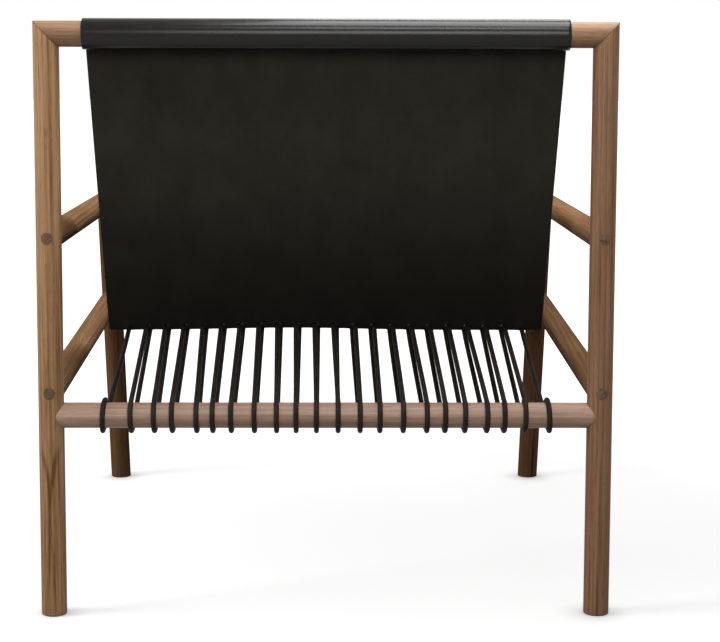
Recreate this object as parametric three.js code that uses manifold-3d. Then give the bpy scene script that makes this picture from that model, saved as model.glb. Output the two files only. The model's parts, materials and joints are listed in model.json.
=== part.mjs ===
/**
 * A leather sling lounge chair.
 *
 * A frame of round walnut dowels, mitred, fish-mouthed and pinned, carries one long piece of leather. The
 * leather runs from the top rail down the back, round a crease and along the seat to the front rail. One cord
 * is laced through the crease and round the rear rail, and draws the leather tight.
 *
 * Millimetres, +Z up. The sitter faces +Y, and +X is at the sitter's right hand. The origin is on the floor,
 * under the middle of the chair's bounding box.
 */
import * as THREE from 'three';
import { mergeVertices } from 'three/addons/utils/BufferGeometryUtils.js';
import Module from 'manifold-3d';

const { Vector2, Vector3 } = THREE;
const { degToRad: degrees, smoothstep } = THREE.MathUtils;

// Frame: heights are from the floor to a dowel's axis, reaches are from the rear posts' axes to the front. The
// seat rail meets the front leg below the front rail, so that their pins pass each other.
const dowelDiameter = 32;
const frameSpacing = 688;
const topRailHeight = 730;
const armHeight = 479;
const seatRailRearHeight = 286;
const rearRailHeight = 255;
const rearRailReach = 1.5;
const frontRailHeight = 360;
const seatRailDropAtLeg = 43;
const frontFootReach = 742;
const frontLegRake = degrees(17.1);
const footRounding = 2;

// Joints: round pins through or into the dowels.
const pinDiameter = 15;
const pinDepthInRail = 40;
const pinDepthPastPostAxis = 6;
const mitrePinDiameter = 8;
const mitrePinLength = 28;
const railTipTrim = 6;
const jointGap = 0.3;

// Leather: the crease's middle is the centre of its round.
const leatherWidth = 598;
const leatherThickness = 3;
const creaseInnerRadius = 5;
const creaseReach = 234.1;
const creaseHeight = 335.2;
const kerfDepth = 6;
const kerfEndRoom = 1;
const kerfBendRadius = 2.2;
const topKerfAngle = degrees(280);
const frontKerfAngle = degrees(255);
const splineThickness = 2.5;

// Lacing: the loops' drift is how far each loop, tied by hand, sits along the rail from its own slot. The loops
// up to the turning one pass over the rail with their left strand, and the others with their right strand.
const cordDiameter = 6.5;
const cordGap = 0.4;
const slotPitch = 25.7;
const slotClearance = 0.75;
const strandSpacing = 7.2;
const stitchLift = 0.75;
const stitchBendRadius = 3.5;
const loopDrift = [
  -8.8, 0.4, 3.6, 0.3, 5.2, -0.4, -3, 0.4, 2.4, 1.2, 1,
  2.5, 4.4, 3.5, 7.2, 11, 8.2, 7.4, 9.3, 5.3, 5.7, 9.9,
];
const turningLoop = 12;
const hitchTailShift = 10;
const hitchTailAngle = degrees(38);
const hitchTipAngle = degrees(-15);

// Fineness of the round surfaces.
const dowelSides = 32;
const pinSides = 16;
const cordSides = 6;
const leatherStep = degrees(10);
const wrapSteps = 12;
const bendSteps = 3;
const footSteps = 3;

// Sizes that follow from the driving dimensions.
const dowelRadius = dowelDiameter / 2;
const halfSpacing = frameSpacing / 2;
const seatRailFrontHeight = frontRailHeight - seatRailDropAtLeg;
const cutSize = 6 * dowelDiameter;
const cordRadius = cordDiameter / 2;
const halfLeather = leatherThickness / 2;
const leatherWrapRadius = dowelRadius + jointGap + halfLeather;
const creaseRadius = creaseInnerRadius + halfLeather;
const slotCount = loopDrift.length;
const X_AXIS = new Vector3(1, 0, 0);
const Y_AXIS = new Vector3(0, 1, 0);
const Z_AXIS = new Vector3(0, 0, 1);

const walnut = { color: 0x7d5c43, roughness: 0.55, metalness: 0 };
const endGrain = { color: 0x5f4636, roughness: 0.7, metalness: 0 };
const blackLeather = { color: 0x23211d, roughness: 0.6, metalness: 0 };
const blackCord = { color: 0x1b1b1b, roughness: 0.65, metalness: 0 };

const wasm = await Module();
wasm.setup();

/** A solid made from a geometry's triangles, with shared corners merged and collapsed triangles left out. */
function solidOf(geometry) {
  const bare = geometry.clone();
  bare.deleteAttribute('normal');
  bare.deleteAttribute('uv');
  const merged = mergeVertices(bare);
  const corners = merged.index.array;
  const kept = [];
  for (let i = 0; i < corners.length; i += 3) {
    const [a, b, c] = corners.slice(i, i + 3);
    if (a !== b && b !== c && c !== a) kept.push(a, b, c);
  }
  return new wasm.Manifold(new wasm.Mesh({
    numProp: 3,
    vertProperties: merged.attributes.position.array,
    triVerts: new Uint32Array(kept),
  }));
}

/** A named mesh of a solid. */
function meshOf(name, solid, finish) {
  const { vertProperties, triVerts } = solid.getMesh();
  const geometry = new THREE.BufferGeometry();
  geometry.setAttribute('position', new THREE.BufferAttribute(vertProperties, 3));
  geometry.setIndex(new THREE.BufferAttribute(triVerts, 1));
  geometry.computeVertexNormals();
  const mesh = new THREE.Mesh(geometry, new THREE.MeshStandardMaterial(finish));
  mesh.name = name;
  return mesh;
}

/** A round bar between two points. */
function bar(start, end, diameter, sides = dowelSides) {
  const along = end.clone().sub(start);
  const geometry = new THREE.CylinderGeometry(diameter / 2, diameter / 2, along.length(), sides);
  geometry.applyQuaternion(new THREE.Quaternion().setFromUnitVectors(Y_AXIS, along.clone().normalize()));
  const middle = start.clone().add(end).multiplyScalar(0.5);
  geometry.translate(middle.x, middle.y, middle.z);
  return solidOf(geometry);
}

/** A block that fills the side of a plane that its normal points to, wide enough to cut off a dowel's end. */
function beyond(point, normal, setback = 0) {
  const block = new THREE.BoxGeometry(cutSize, cutSize, cutSize);
  block.translate(0, 0, cutSize / 2 - setback);
  block.applyQuaternion(new THREE.Quaternion().setFromUnitVectors(Z_AXIS, normal));
  block.translate(point.x, point.y, point.z);
  return solidOf(block);
}

/** The unit normal of the mitre between two dowels that leave one corner, on the second dowel's side. */
function mitreNormal(firstDirection, secondDirection) {
  return secondDirection.clone().sub(firstDirection).normalize();
}

/** The point of a front leg's axis at a height. */
function legPoint(height) {
  return new Vector3(0, frontFootReach - height * Math.tan(frontLegRake), height);
}

const legDown = new Vector3(0, Math.sin(frontLegRake), -Math.cos(frontLegRake));
const armCorner = legPoint(armHeight);
const topCorner = new Vector3(0, 0, topRailHeight);
const seatRailRear = new Vector3(0, 0, seatRailRearHeight);
const seatRailFront = legPoint(seatRailFrontHeight);
const seatRailForward = seatRailFront.clone().sub(seatRailRear).normalize();
const armRear = new Vector3(0, 0, armHeight);
const armForward = Y_AXIS;
const rearRailAxis = new Vector3(0, rearRailReach, rearRailHeight);
const frontRailAxis = legPoint(frontRailHeight);

/** A pin along a direction through a point: how far it reaches behind and past that point, and its diameter. */
function pinAt(point, direction, behind, past, diameter = pinDiameter) {
  return {
    start: point.clone().addScaledVector(direction, -behind),
    end: point.clone().addScaledVector(direction, past),
    diameter,
  };
}

/** The pin's own solid. */
function pinSolid(pin) {
  return bar(pin.start, pin.end, pin.diameter, pinSides);
}

/** The hole that a pin sits in, a little wider and longer than the pin. */
function boreFor(pin) {
  const along = pin.end.clone().sub(pin.start).normalize();
  const start = pin.start.clone().addScaledVector(along, -jointGap);
  const end = pin.end.clone().addScaledVector(along, jointGap);
  return bar(start, end, pin.diameter + 2 * jointGap, pinSides);
}

/** A bar round the axis of an upright, wider by the joint gap, that cuts the fish mouth of a rail's end. */
function fishMouth(axisPoint, axisDirection) {
  const start = axisPoint.clone().addScaledVector(axisDirection, -cutSize / 2);
  const end = axisPoint.clone().addScaledVector(axisDirection, cutSize / 2);
  return bar(start, end, dowelDiameter + 2 * jointGap);
}

/** The pins of one side frame, in that frame's own coordinates; inward points to the chair's middle. */
function pinsOf(inward) {
  const intoRail = dowelRadius + pinDepthInRail;
  const halfMitrePin = mitrePinLength / 2;
  const topMitre = mitreNormal(Z_AXIS.clone().negate(), inward);
  const armMitre = mitreNormal(legDown, armForward.clone().negate());
  return {
    armRear: pinAt(armRear, armForward, dowelDiameter, intoRail),
    seatRailRear: pinAt(seatRailRear, seatRailForward, dowelDiameter, intoRail),
    seatRailFront: pinAt(seatRailFront, seatRailForward, intoRail, dowelDiameter),
    armCorner: pinAt(armCorner, armMitre, halfMitrePin, halfMitrePin, mitrePinDiameter),
    topCorner: pinAt(topCorner, topMitre, halfMitrePin, halfMitrePin, mitrePinDiameter),
    rearRail: pinAt(rearRailAxis, inward, pinDepthPastPostAxis, intoRail),
    frontRail: pinAt(frontRailAxis, inward, pinDepthPastPostAxis, intoRail),
  };
}

/** A rear post with a rounded foot, its top end cut for the mitre with the top rail. */
function rearPost(inward, pins) {
  const length = topRailHeight + dowelDiameter;
  const profile = [new Vector2(0, 0)];
  for (let step = 0; step <= footSteps; step += 1) {
    const angle = (step / footSteps) * (Math.PI / 2);
    const inset = footRounding * (1 - Math.sin(angle));
    profile.push(new Vector2(dowelRadius - inset, footRounding * (1 - Math.cos(angle))));
  }
  profile.push(new Vector2(dowelRadius, length), new Vector2(0, length));
  const turned = new THREE.LatheGeometry(profile, dowelSides);
  turned.rotateX(Math.PI / 2);
  return solidOf(turned)
    .subtract(beyond(topCorner, mitreNormal(Z_AXIS.clone().negate(), inward), jointGap / 2))
    .subtract(boreFor(pins.topCorner))
    .subtract(boreFor(pins.armRear))
    .subtract(boreFor(pins.seatRailRear))
    .subtract(boreFor(pins.rearRail));
}

/** A raked front leg, cut level at the floor and mitred to the arm. */
function frontLeg(pins) {
  const start = armCorner.clone().addScaledVector(legDown, -dowelDiameter);
  const end = legPoint(0).addScaledVector(legDown, dowelDiameter);
  return bar(start, end, dowelDiameter)
    .subtract(beyond(legPoint(0), Z_AXIS.clone().negate()))
    .subtract(beyond(armCorner, mitreNormal(legDown, armForward.clone().negate()), jointGap / 2))
    .subtract(boreFor(pins.armCorner))
    .subtract(boreFor(pins.seatRailFront))
    .subtract(boreFor(pins.frontRail));
}

/** A level arm, fish-mouthed on the rear post and mitred to the front leg. */
function arm(pins) {
  const end = armCorner.clone().addScaledVector(armForward, dowelDiameter);
  return bar(armRear, end, dowelDiameter)
    .subtract(fishMouth(armRear, Z_AXIS))
    .subtract(beyond(armCorner, mitreNormal(armForward.clone().negate(), legDown), jointGap / 2))
    .subtract(boreFor(pins.armRear))
    .subtract(boreFor(pins.armCorner));
}

/** A seat rail, fish-mouthed on the rear post and on the front leg. */
function seatRail(pins) {
  return bar(seatRailRear, seatRailFront, dowelDiameter)
    .subtract(fishMouth(seatRailRear, Z_AXIS))
    .subtract(fishMouth(seatRailFront, legDown))
    .subtract(boreFor(pins.seatRailRear))
    .subtract(boreFor(pins.seatRailFront));
}

/** A pin that passes through an upright, its outer end dressed flush with the upright's round face. */
function flushPin(pin, axisPoint, axisDirection, outward) {
  const start = axisPoint.clone().addScaledVector(axisDirection, -cutSize / 2);
  const end = axisPoint.clone().addScaledVector(axisDirection, cutSize / 2);
  const waste = beyond(axisPoint, outward).subtract(bar(start, end, dowelDiameter));
  return pinSolid(pin).subtract(waste);
}

/** One side of the chair: post, front leg, arm, seat rail and their pins, in a group at that side's plane. */
function sideFrame(side, label) {
  const inward = new Vector3(-side, 0, 0);
  const pins = pinsOf(inward);
  const backward = armForward.clone().negate();
  const group = new THREE.Group();
  group.position.x = side * halfSpacing;
  group.add(
    meshOf(`rear_post_${label}`, rearPost(inward, pins), walnut),
    meshOf(`front_leg_${label}`, frontLeg(pins), walnut),
    meshOf(`arm_${label}`, arm(pins), walnut),
    meshOf(`seat_rail_${label}`, seatRail(pins), walnut),
    meshOf(`arm_rear_pin_${label}`, flushPin(pins.armRear, armRear, Z_AXIS, backward), endGrain),
    meshOf(`seat_rail_rear_pin_${label}`, flushPin(pins.seatRailRear, seatRailRear, Z_AXIS, backward), endGrain),
    meshOf(
      `seat_rail_front_pin_${label}`,
      flushPin(pins.seatRailFront, seatRailFront, legDown, armForward),
      endGrain,
    ),
    meshOf(`arm_corner_pin_${label}`, pinSolid(pins.armCorner), endGrain),
    meshOf(`top_corner_pin_${label}`, pinSolid(pins.topCorner), endGrain),
    meshOf(`rear_rail_pin_${label}`, pinSolid(pins.rearRail), endGrain),
    meshOf(`front_rail_pin_${label}`, pinSolid(pins.frontRail), endGrain),
  );
  return group;
}

/** A point of the chair's side plane as a point of the chair, at a distance along X. */
function fromSidePlane(x, point) {
  return new Vector3(x, point.x, point.y);
}

/** The direction at an angle in the side plane: 0 points forward and a quarter turn points up. */
function directionAt(angle) {
  return new Vector2(Math.cos(angle), Math.sin(angle));
}

/**
 * A saw kerf that takes the leather's end and its spline, in the side plane about a rail's axis. The leather
 * lies against one wall, where it bends round the rail, and the spline fills the other side.
 */
function kerfOf(angle, splineSide) {
  const outward = directionAt(angle);
  const across = directionAt(angle + Math.PI / 2).multiplyScalar(splineSide);
  const leatherWall = -(halfLeather + jointGap);
  const splineStart = halfLeather + jointGap;
  const splineWall = splineStart + splineThickness + jointGap;
  const floor = dowelRadius - kerfDepth;
  return { angle, outward, across, leatherWall, splineStart, splineWall, floor };
}

const topKerf = kerfOf(topKerfAngle, 1);
const frontKerf = kerfOf(frontKerfAngle, -1);

/** A bar of rectangular section along X, between two depths in a kerf and two distances across it. */
function kerfBlock(kerf, length, inner, outer, near, far) {
  const block = new THREE.BoxGeometry(length, outer - inner, far - near);
  const middle = kerf.outward.clone().multiplyScalar((inner + outer) / 2);
  middle.addScaledVector(kerf.across, (near + far) / 2);
  block.rotateX(kerf.angle);
  const place = fromSidePlane(0, middle);
  block.translate(place.x, place.y, place.z);
  return block;
}

/** A cross rail's plain dowel, long enough to be cut to its ends, about its own middle. */
function railBlank() {
  const reach = X_AXIS.clone().multiplyScalar(halfSpacing + dowelDiameter);
  return bar(reach.clone().negate(), reach, dowelDiameter);
}

/** The rail with the kerf for the leather's end sawn into it. */
function withKerf(rail, kerf) {
  const length = leatherWidth + 2 * kerfEndRoom;
  return rail.subtract(solidOf(
    kerfBlock(kerf, length, kerf.floor, dowelDiameter, kerf.leatherWall, kerf.splineWall),
  ));
}

/** A pin of the side frame at a side, as seen from a rail's own middle. */
function pinFromRail(pin, side, railAxis) {
  const shift = new Vector3(side * halfSpacing, 0, 0).sub(railAxis);
  return { start: pin.start.clone().add(shift), end: pin.end.clone().add(shift), diameter: pin.diameter };
}

/** The top rail, mitred to both posts. */
function topRail() {
  let rail = withKerf(railBlank(), topKerf);
  for (const side of [-1, 1]) {
    const inward = new Vector3(-side, 0, 0);
    const corner = new Vector3(side * halfSpacing, 0, 0);
    const pin = pinFromRail(pinsOf(inward).topCorner, side, topCorner);
    rail = rail
      .subtract(beyond(corner, mitreNormal(inward, Z_AXIS.clone().negate()), jointGap / 2))
      .subtract(boreFor(pin));
  }
  return rail;
}

/** A rail between two uprights, fish-mouthed on both and pinned to them. */
function coupledRail(blank, railAxis, uprightReach, uprightDirection, pinName) {
  let rail = blank;
  for (const side of [-1, 1]) {
    const axisPoint = new Vector3(side * halfSpacing, uprightReach - railAxis.y, 0);
    const outward = new Vector3(side, 0, 0);
    const pin = pinFromRail(pinsOf(outward.clone().negate())[pinName], side, railAxis);
    rail = rail
      .subtract(beyond(axisPoint, outward, railTipTrim))
      .subtract(fishMouth(axisPoint, uprightDirection))
      .subtract(boreFor(pin));
  }
  return rail;
}

/** The three rails that join the side frames, each placed at its axis. */
function crossRails() {
  const top = meshOf('top_rail', topRail(), walnut);
  top.position.copy(topCorner);
  const rear = meshOf('rear_rail', coupledRail(railBlank(), rearRailAxis, 0, Z_AXIS, 'rearRail'), walnut);
  rear.position.copy(rearRailAxis);
  const frontBlank = withKerf(railBlank(), frontKerf);
  const frontSolid = coupledRail(frontBlank, frontRailAxis, frontRailAxis.y, legDown, 'frontRail');
  const front = meshOf('front_rail', frontSolid, walnut);
  front.position.copy(frontRailAxis);
  return [top, rear, front];
}

/** The strip that holds the leather's end in a kerf, placed at its rail's axis. */
function spline(name, kerf, railAxis) {
  const inner = kerf.floor + jointGap;
  const outer = dowelRadius - jointGap;
  const far = kerf.splineStart + splineThickness;
  const strip = kerfBlock(kerf, leatherWidth, inner, outer, kerf.splineStart, far);
  const mesh = meshOf(name, solidOf(strip), endGrain);
  mesh.position.copy(railAxis);
  return mesh;
}

/** The heading of the straight run between two bends; a radius is positive where the leather turns left. */
function headingBetween(firstCentre, firstRadius, secondCentre, secondRadius) {
  const between = secondCentre.clone().sub(firstCentre);
  return between.angle() - Math.asin((secondRadius - firstRadius) / between.length());
}

/** An angle moved by whole turns to lie within half a turn of another. */
function nearAngle(angle, other) {
  const turn = 2 * Math.PI;
  return angle - turn * Math.round((angle - other) / turn);
}

const topWrapCentre = new Vector2(0, topRailHeight);
const frontWrapCentre = new Vector2(frontRailAxis.y, frontRailHeight);
const creaseCentre = new Vector2(creaseReach, creaseHeight);
const backHeading = nearAngle(
  headingBetween(topWrapCentre, -leatherWrapRadius, creaseCentre, creaseRadius),
  0,
);
const seatHeading = nearAngle(
  headingBetween(creaseCentre, creaseRadius, frontWrapCentre, -leatherWrapRadius),
  0,
);

/** The bend of the leather's end from a rail's round into its kerf; turn is 1 before the kerf, -1 after it. */
function kerfBend(wrapCentre, kerf, turn) {
  const centreDistance = leatherWrapRadius - kerfBendRadius;
  const swing = Math.asin(kerfBendRadius / centreDistance);
  const joinAngle = kerf.angle - turn * swing;
  const centre = wrapCentre.clone().addScaledVector(directionAt(joinAngle), centreDistance);
  return { centre, radius: kerfBendRadius, joinAngle, wallAngle: kerf.angle + turn * (Math.PI / 2) };
}

/** The bends that the leather's middle follows from the top kerf to the front kerf, with straight runs between. */
function leatherBends() {
  const quarter = Math.PI / 2;
  const topBend = kerfBend(topWrapCentre, topKerf, 1);
  const frontBend = kerfBend(frontWrapCentre, frontKerf, -1);
  const turn = 2 * Math.PI;
  return [
    { centre: topBend.centre, radius: topBend.radius, from: topBend.wallAngle, to: topBend.joinAngle },
    { centre: topWrapCentre, radius: leatherWrapRadius, from: topBend.joinAngle, to: backHeading + quarter },
    { centre: creaseCentre, radius: creaseRadius, from: backHeading - quarter, to: seatHeading - quarter },
    {
      centre: frontWrapCentre,
      radius: leatherWrapRadius,
      from: seatHeading + quarter,
      to: frontBend.joinAngle - turn,
    },
    { centre: frontBend.centre, radius: frontBend.radius, from: frontBend.joinAngle, to: frontBend.wallAngle },
  ];
}

/** One face of the leather: the bends' points at a distance to the left of the leather's middle. */
function leatherFace(offset) {
  const points = [];
  const tailDepth = jointGap + topKerf.floor;
  points.push(topWrapCentre.clone()
    .addScaledVector(topKerf.outward, tailDepth)
    .addScaledVector(topKerf.across, offset));
  for (const { centre, radius, from, to } of leatherBends()) {
    const facing = to < from ? radius + offset : radius - offset;
    const steps = Math.ceil(Math.abs(to - from) / leatherStep);
    for (let step = 0; step <= steps; step += 1) {
      const angle = from + ((to - from) * step) / steps;
      points.push(centre.clone().addScaledVector(directionAt(angle), facing));
    }
  }
  points.push(frontWrapCentre.clone()
    .addScaledVector(frontKerf.outward, tailDepth)
    .addScaledVector(frontKerf.across, offset));
  return points;
}

const slotNormal = directionAt(backHeading - Math.PI / 2);
const slotPlace = creaseCentre.clone().addScaledVector(slotNormal, creaseRadius);

/** The place of a slot along X, counted from the left. */
function slotX(index) {
  return (index - (slotCount - 1) / 2) * slotPitch;
}

/** The cutter of one lacing slot: room for two strands, or for one at either end of the row. */
function slotCutter(index) {
  const strands = index === 0 || index === slotCount - 1 ? 0 : strandSpacing;
  const room = cordDiameter + 2 * slotClearance;
  const cutter = new THREE.BoxGeometry(strands + room, room, 4 * leatherThickness);
  const along = fromSidePlane(0, directionAt(backHeading));
  cutter.applyMatrix4(new THREE.Matrix4().makeBasis(X_AXIS, along, X_AXIS.clone().cross(along)));
  const place = fromSidePlane(slotX(index), slotPlace);
  cutter.translate(place.x, place.y, place.z);
  return solidOf(cutter);
}

/** The leather sling: its section in the side plane, drawn out to the leather's width, with the lacing slots. */
function leatherSling() {
  const outline = new THREE.Shape([...leatherFace(halfLeather), ...leatherFace(-halfLeather).reverse()]);
  const sheet = new THREE.ExtrudeGeometry(outline, { depth: leatherWidth, bevelEnabled: false });
  sheet.applyMatrix4(new THREE.Matrix4().makeBasis(Y_AXIS, Z_AXIS, X_AXIS));
  sheet.translate(-leatherWidth / 2, 0, 0);
  let leather = solidOf(sheet);
  for (let index = 0; index < slotCount; index += 1) {
    leather = leather.subtract(slotCutter(index));
  }
  return meshOf('leather_sling', leather, blackLeather);
}

const rearRailCentre = new Vector2(rearRailReach, rearRailHeight);
const cordWrapRadius = (dowelRadius + cordGap + cordRadius) / Math.cos(Math.PI / (2 * wrapSteps));
const stitchDepth = halfLeather + stitchLift + cordRadius;

/** The angles on the rear rail where the strands from a slot meet the cord's turn round the rail. */
function strandAngles() {
  const toSlot = slotPlace.clone().sub(rearRailCentre);
  const swing = Math.acos(cordWrapRadius / toSlot.length());
  return { upper: toSlot.angle() + swing, lower: toSlot.angle() - swing + 2 * Math.PI };
}

/** A point of the cord on the rear rail. */
function onRail(x, angle) {
  return fromSidePlane(x, rearRailCentre.clone().addScaledVector(directionAt(angle), cordWrapRadius));
}

/** The bend between a strand in its slot and the stitch inside, from the slot; sense is the stitch's way along X. */
function stitchBend(x, sense) {
  const points = [];
  for (let step = 0; step <= bendSteps; step += 1) {
    const angle = (step / bendSteps) * (Math.PI / 2);
    const depth = stitchDepth - stitchBendRadius * (1 - Math.sin(angle));
    const shift = stitchBendRadius * (1 - Math.cos(angle));
    points.push(fromSidePlane(x + sense * shift, slotPlace.clone().addScaledVector(slotNormal, -depth)));
  }
  return points;
}

/** The cord's points at one loop: out of the slot, round the rail from above or from below, and back into the slot. */
function loopPoints(index) {
  const { upper, lower } = strandAngles();
  const [from, to] = index < turningLoop ? [upper, lower] : [lower, upper];
  const x = slotX(index);
  const points = stitchBend(x - strandSpacing / 2, -1).reverse();
  for (let step = 0; step <= wrapSteps; step += 1) {
    points.push(onRail(x + loopDrift[index], from + ((to - from) * step) / wrapSteps));
  }
  return points.concat(stitchBend(x + strandSpacing / 2, 1));
}

/**
 * The half hitch at an end of the cord, from the slot to the cord's tip: the strand passes under the rail, turns
 * up its rear face and over it, and its tail tucks in between the rail and the strand.
 */
function hitchPoints(index, sense) {
  const { lower } = strandAngles();
  const ringX = slotX(index) + loopDrift[index];
  const points = stitchBend(slotX(index), sense).reverse();
  const turnSteps = Math.round((wrapSteps * (lower - hitchTipAngle)) / Math.PI);
  for (let step = 0; step <= turnSteps; step += 1) {
    const angle = lower + ((hitchTipAngle - lower) * step) / turnSteps;
    const tail = smoothstep(-angle, -hitchTailAngle, -hitchTipAngle) * hitchTailShift;
    points.push(onRail(ringX + sense * tail, angle));
  }
  return points;
}

/** The whole route of the lacing cord's middle, from its left tip to its right tip. */
function lacingRoute() {
  const last = slotCount - 1;
  const route = hitchPoints(0, 1).reverse();
  for (let index = 1; index < last; index += 1) route.push(...loopPoints(index));
  return route.concat(hitchPoints(last, -1));
}

/** An unbroken tube along a route, with sections that turn as little as the route lets them. */
function tubeAlong(route, radius, sides) {
  const positions = [];
  const triangles = [];
  const tangents = route.map((point, i) => {
    const before = route[Math.max(i - 1, 0)];
    const after = route[Math.min(i + 1, route.length - 1)];
    const arriving = point.clone().sub(before).normalize();
    return arriving.add(after.clone().sub(point).normalize()).normalize();
  });
  let across = X_AXIS.clone().cross(tangents[0]).normalize();
  route.forEach((point, i) => {
    if (i > 0) {
      across.applyQuaternion(new THREE.Quaternion().setFromUnitVectors(tangents[i - 1], tangents[i]));
      across.addScaledVector(tangents[i], -across.dot(tangents[i])).normalize();
    }
    const other = tangents[i].clone().cross(across);
    for (let side = 0; side < sides; side += 1) {
      const angle = (side / sides) * 2 * Math.PI;
      const rim = point.clone()
        .addScaledVector(across, radius * Math.cos(angle))
        .addScaledVector(other, radius * Math.sin(angle));
      positions.push(rim.x, rim.y, rim.z);
    }
  });
  const ring = (i, side) => i * sides + (side % sides);
  for (let i = 0; i < route.length - 1; i += 1) {
    for (let side = 0; side < sides; side += 1) {
      triangles.push(ring(i, side), ring(i, side + 1), ring(i + 1, side + 1));
      triangles.push(ring(i, side), ring(i + 1, side + 1), ring(i + 1, side));
    }
  }
  for (let side = 1; side < sides - 1; side += 1) {
    const end = route.length - 1;
    triangles.push(ring(0, 0), ring(0, side + 1), ring(0, side));
    triangles.push(ring(end, 0), ring(end, side), ring(end, side + 1));
  }
  const geometry = new THREE.BufferGeometry();
  geometry.setAttribute('position', new THREE.Float32BufferAttribute(positions, 3));
  geometry.setIndex(triangles);
  return geometry;
}

/** The least gap between two stretches of a tube, measured on points along its route. */
function leastGapToItself(route, diameter) {
  const spacing = diameter / 4;
  const points = [];
  let walked = 0;
  for (let i = 0; i < route.length - 1; i += 1) {
    const length = route[i].distanceTo(route[i + 1]);
    const steps = Math.max(1, Math.round(length / spacing));
    for (let step = 0; step < steps; step += 1) {
      const share = step / steps;
      points.push({ place: route[i].clone().lerp(route[i + 1], share), along: walked + length * share });
    }
    walked += length;
  }
  const sameStretch = 4 * diameter;
  let least = Infinity;
  for (let i = 0; i < points.length; i += 1) {
    for (let j = i + 1; j < points.length; j += 1) {
      if (points[j].along - points[i].along < sameStretch) continue;
      least = Math.min(least, points[i].place.distanceToSquared(points[j].place));
    }
  }
  return { gap: Math.sqrt(least) - diameter, length: walked };
}

/** The lacing cord as one unbroken tube. */
function lacingCord() {
  const route = lacingRoute();
  const { gap, length } = leastGapToItself(route, cordDiameter);
  console.log(`lacing cord: ${(length / 1000).toFixed(2)} m long, least gap to itself ${gap.toFixed(2)} mm`);
  return meshOf('lacing_cord', solidOf(tubeAlong(route, cordRadius, cordSides)), blackCord);
}

const woodFrame = new THREE.Group();
woodFrame.add(sideFrame(-1, 'left'), sideFrame(1, 'right'), ...crossRails());

const sling = new THREE.Group();
sling.add(
  leatherSling(),
  spline('top_spline', topKerf, topCorner),
  spline('front_spline', frontKerf, frontRailAxis),
  lacingCord(),
);

const chair = new THREE.Group();
chair.add(woodFrame, sling);
const box = new THREE.Box3().setFromObject(chair);
chair.position.y = -(box.min.y + box.max.y) / 2;

export default chair;
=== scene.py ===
"""A leather sling lounge chair, seen from behind on a white ground.

Round walnut dowels, mitred, fish-mouthed and pinned, carry one long piece of black leather. A braided cord is
laced through the leather's crease and round the rear rail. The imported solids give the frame's main places and
sizes, and the classes below hold the others. This script dresses the solids: smooth dowels with eased edges,
bored for their pins, the leather with its two different sides and its drawn-in lacing slots, and the cord.

Metres, +Z up. The sitter faces +Y, and +X is at the sitter's right hand.
"""

import json
import logging
import math
from dataclasses import dataclass, field
from enum import Enum
from typing import Any, Iterable, Sequence

import bmesh
import bpy
import numpy as np
from mathutils import Matrix, Vector

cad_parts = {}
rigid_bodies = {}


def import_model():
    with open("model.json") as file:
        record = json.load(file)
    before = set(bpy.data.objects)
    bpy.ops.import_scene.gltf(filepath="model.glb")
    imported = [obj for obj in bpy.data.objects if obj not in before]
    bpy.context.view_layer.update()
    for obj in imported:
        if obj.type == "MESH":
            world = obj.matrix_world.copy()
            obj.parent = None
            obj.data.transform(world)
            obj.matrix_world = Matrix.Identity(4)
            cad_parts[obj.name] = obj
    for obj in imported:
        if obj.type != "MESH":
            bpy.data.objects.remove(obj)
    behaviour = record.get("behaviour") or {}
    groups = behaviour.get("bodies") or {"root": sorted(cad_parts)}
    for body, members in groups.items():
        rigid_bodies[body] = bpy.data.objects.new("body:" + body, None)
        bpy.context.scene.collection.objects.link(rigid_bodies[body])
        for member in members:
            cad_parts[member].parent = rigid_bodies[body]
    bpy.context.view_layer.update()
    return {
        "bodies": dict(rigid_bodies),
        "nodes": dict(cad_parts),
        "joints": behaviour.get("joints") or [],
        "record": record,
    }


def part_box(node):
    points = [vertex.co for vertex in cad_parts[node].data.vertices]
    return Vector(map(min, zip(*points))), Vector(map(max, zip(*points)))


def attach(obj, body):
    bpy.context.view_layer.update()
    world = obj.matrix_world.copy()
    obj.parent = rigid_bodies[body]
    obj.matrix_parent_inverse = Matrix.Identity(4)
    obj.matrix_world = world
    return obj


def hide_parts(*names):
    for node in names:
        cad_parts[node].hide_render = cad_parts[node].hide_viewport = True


LOG = logging.getLogger("lounge_chair")
BODY = "root"
SIDES = {"left": -1, "right": 1}
# Degrees for the two angles of shading, metres for the rest.
SMOOTH_BELOW = 40.0
CUT_SMOOTH_BELOW = 32.0
SAME_PLACE = 1e-7
SHORTEST_STRETCH = 1e-6
PIN_RING_WIDTH = 0.0024

Colour = tuple[float, float, float, float]
Socket = bpy.types.NodeSocket
Points = np.ndarray


def screen_colour(red: int, green: int, blue: int) -> Colour:
    """A colour written as a screen shows it, in the linear values that shaders take.

    Args:
        red, green, blue: the colour's parts, from 0 to 255.

    Returns:
        The linear colour with full opacity.
    """
    straight_below, straight_slope, offset, power = 0.04045, 12.92, 0.055, 2.4
    parts = []
    for part in (red, green, blue):
        share = part / 255
        curved = ((share + offset) / (1 + offset)) ** power
        parts.append(share / straight_slope if share <= straight_below else curved)
    return parts[0], parts[1], parts[2], 1.0


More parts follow.
